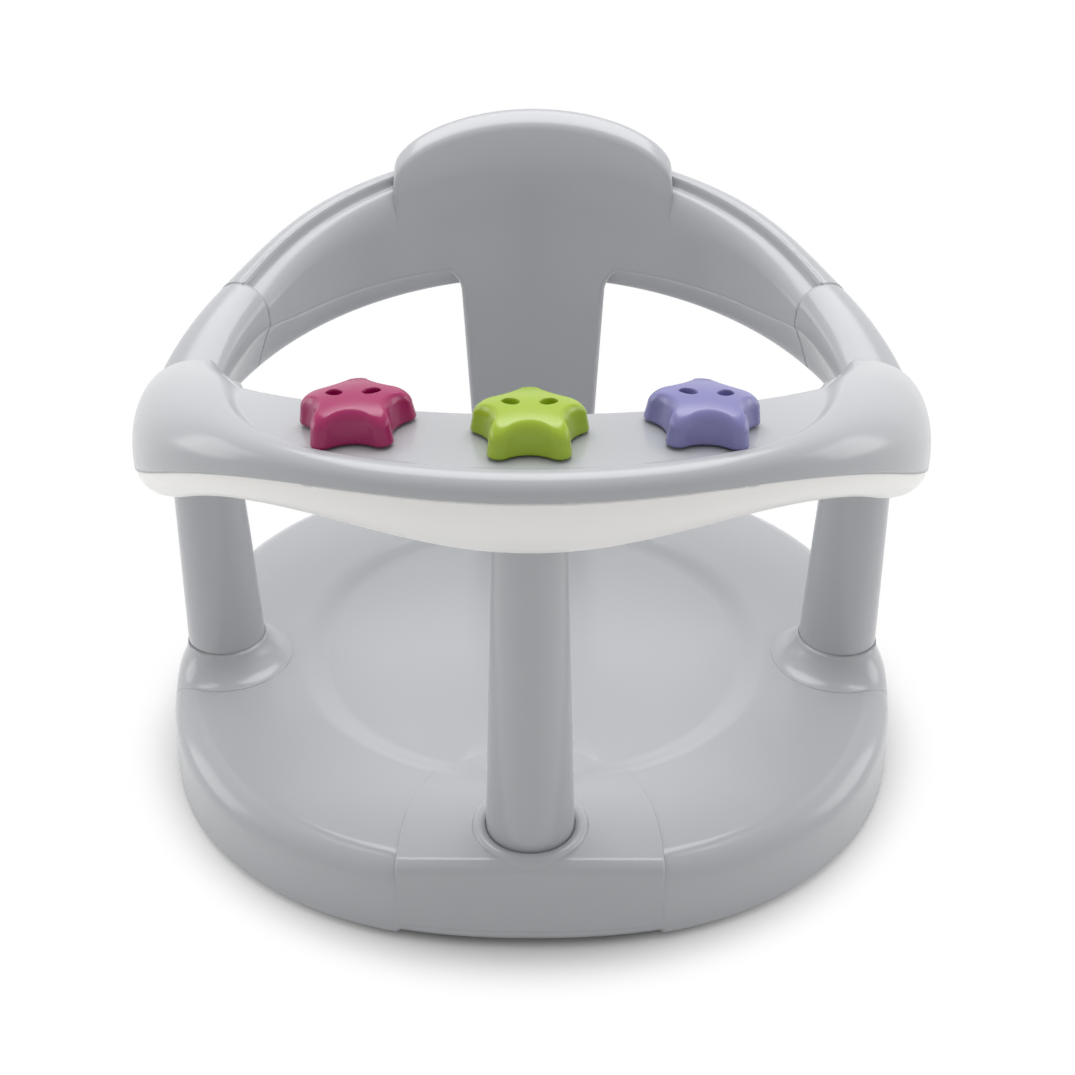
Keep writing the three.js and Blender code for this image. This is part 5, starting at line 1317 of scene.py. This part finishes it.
def star_axes(angle):
    """Rows of the matrix that stands a star on the tray, square to its surface: its x, y and
    upward directions, and its place."""
    step = math.radians(2)
    ahead = tray_point(angle + step, STAR_PLACE)
    back = tray_point(angle - step, STAR_PLACE)
    rise = surface_height(angle + step) - surface_height(angle - step)
    along = np.array([*(ahead - back), rise])
    across = tray_inner_edge(angle) - ring_edge(angle)
    up = np.cross(np.array([*across, 0]), along)
    up = up / np.linalg.norm(up)
    if up[2] < 0:
        up = -up
    y_axis = np.array([0, 1, 0]) - up[1] * up
    y_axis = y_axis / np.linalg.norm(y_axis)
    place = np.array([*tray_point(angle, STAR_PLACE), surface_height(angle)])
    return np.cross(y_axis, up), y_axis, up, place


def stood(points, axes):
    """Moves points from a star's own frame to the ring's."""
    x_axis, y_axis, up, place = axes
    return place + points[..., :1] * x_axis + points[..., 1:2] * y_axis + points[..., 2:] * up


STAR_BODY = star_points()
for side, (angle, colour, star_colour) in STARS.items():
    plastic = moulded_plastic(f"{colour}_plastic", star_colour, gloss=0.24)
    toy = stood(STAR_BODY, star_axes(math.radians(angle)))
    add_piece(f"{side}_star_toy", toy, plastic, [f"{side}_star"], f"{side}_spinner")


# Screws and washers: stainless steel. Every screw is a pan head with a cross recess on a
# coarse thread, and comes from below except at the tops of the legs.

SCREW_HEAD_RADIUS = 3.5
SCREW_HEAD_HEIGHT = 2.4
SCREW_FLAT_SHARE = 0.75
RECESS_DEPTH = 1.3
RECESS_REACH = 2.2
SCREW_RADIUS = 1.75
SCREW_LENGTH = 13
THREAD_PITCH = 1.4
THREAD_DEPTH = 0.35
WASHER_TOP = -7.1
WASHER_THICKNESS = 1.5
WASHER_RADIUS = 8
STEEL_COLOUR = (0.56, 0.57, 0.58, 1)
STEEL_SMOOTH = 0.22
STEEL_ROUGH = 0.42
STREAK_SCALE = (900, 900, 5000)


def steel_material():
    """Brushed stainless steel: fine streaks vary the roughness."""
    material = bpy.data.materials.new("stainless_steel")
    material.use_nodes = True
    tree = material.node_tree
    place = add_node(tree, "TexCoord").outputs["Object"]
    stretch = add_node(tree, "Mapping", {"Vector": place, "Scale": STREAK_SCALE})
    streaks = add_node(tree, "TexNoise", {"Vector": stretch, "Scale": 1})
    rough = add_node(tree, "MapRange", {"Value": streaks, "To Min": STEEL_SMOOTH, "To Max": STEEL_ROUGH})
    feed(tree, tree.nodes["Principled BSDF"], {
        "Base Color": STEEL_COLOUR, "Metallic": 1, "Roughness": rough,
    })
    return material


def screw_points(columns=64):
    """Rows go from the middle of the head's underside recess over its rounded rim to the seat at
    height 0, and up the shank to its point. The recess sinks where |x| or |y| is small; the
    thread is a ridge whose height follows the turn."""
    turn = whole_turn(columns)
    flat = SCREW_FLAT_SHARE
    rim = flat + (1 - flat) * np.sin(quarter_turn(8)[1:])
    head = np.concatenate([np.linspace(0, flat, 14), rim])[:, None]
    radius = SCREW_HEAD_RADIUS * head
    x = radius * np.cos(turn)
    y = radius * np.sin(turn)
    edge = np.clip((head - flat) / (1 - flat), 0, 1)
    crown = -SCREW_HEAD_HEIGHT * (1 - 0.15 * head ** 2 - 0.85 * edge ** 3)
    arm = np.minimum(np.abs(x), np.abs(y))
    reach = np.maximum(np.abs(x), np.abs(y))
    recess = RECESS_DEPTH * smoothstep((0.65 - arm) / 0.3) * smoothstep((RECESS_REACH - reach) / 0.4)
    z = np.linspace(0, SCREW_LENGTH - 2, 60)[:, None]
    wave = np.abs(((z / THREAD_PITCH - turn / (2 * np.pi)) % 1) * 2 - 1)
    shank = SCREW_RADIUS - THREAD_DEPTH * (1 - wave ** 3) * smoothstep(z / 2)
    point = turned([(0.55 * SCREW_RADIUS, SCREW_LENGTH - 0.9), (0, SCREW_LENGTH)], columns)
    thread = at(shank * np.cos(turn), shank * np.sin(turn), z)
    return np.concatenate([at(x, y, crown + recess), thread, point])


STEEL = "steel"
SLOT_MATERIALS[STEEL] = steel_material()
SCREW = screw_points()
WASHER_FOOT = WASHER_TOP - WASHER_THICKNESS
WASHER_PROFILE = [
    (2.05, WASHER_TOP - 0.15), (2.2, WASHER_TOP), (WASHER_RADIUS - 0.3, WASHER_TOP),
    (WASHER_RADIUS, WASHER_TOP - 0.3), (WASHER_RADIUS, WASHER_FOOT + 0.3),
    (WASHER_RADIUS - 0.3, WASHER_FOOT), (2.2, WASHER_FOOT), (2.05, WASHER_FOOT + 0.15),
]
for side, (angle, _, _) in STARS.items():
    axes = star_axes(math.radians(angle))
    body = f"{side}_spinner"
    washer = stood(turned(WASHER_PROFILE, 72), axes)
    add_piece(f"{side}_washer", washer, STEEL, [f"{side}_star_washer"], body, close_rows=True)
    screw = stood(SCREW + np.array([0, 0, WASHER_FOOT - 0.3]), axes)
    add_piece(f"{side}_pan_screw", screw, STEEL, [f"{side}_star_screw"], body)

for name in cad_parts:
    if "screw" not in name or "star" in name:
        continue
    low, high = (np.array(corner) * 1000 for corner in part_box(name))
    x, y = (low + high)[:2] / 2
    if name.endswith("upper_screw"):
        points = SCREW * np.array([1, -1, -1]) + np.array([x, y, high[2] - SCREW_HEAD_HEIGHT])
    else:
        points = SCREW + np.array([x, y, low[2] + SCREW_HEAD_HEIGHT])
    add_piece(f"pan_{name}", points, STEEL, [name])
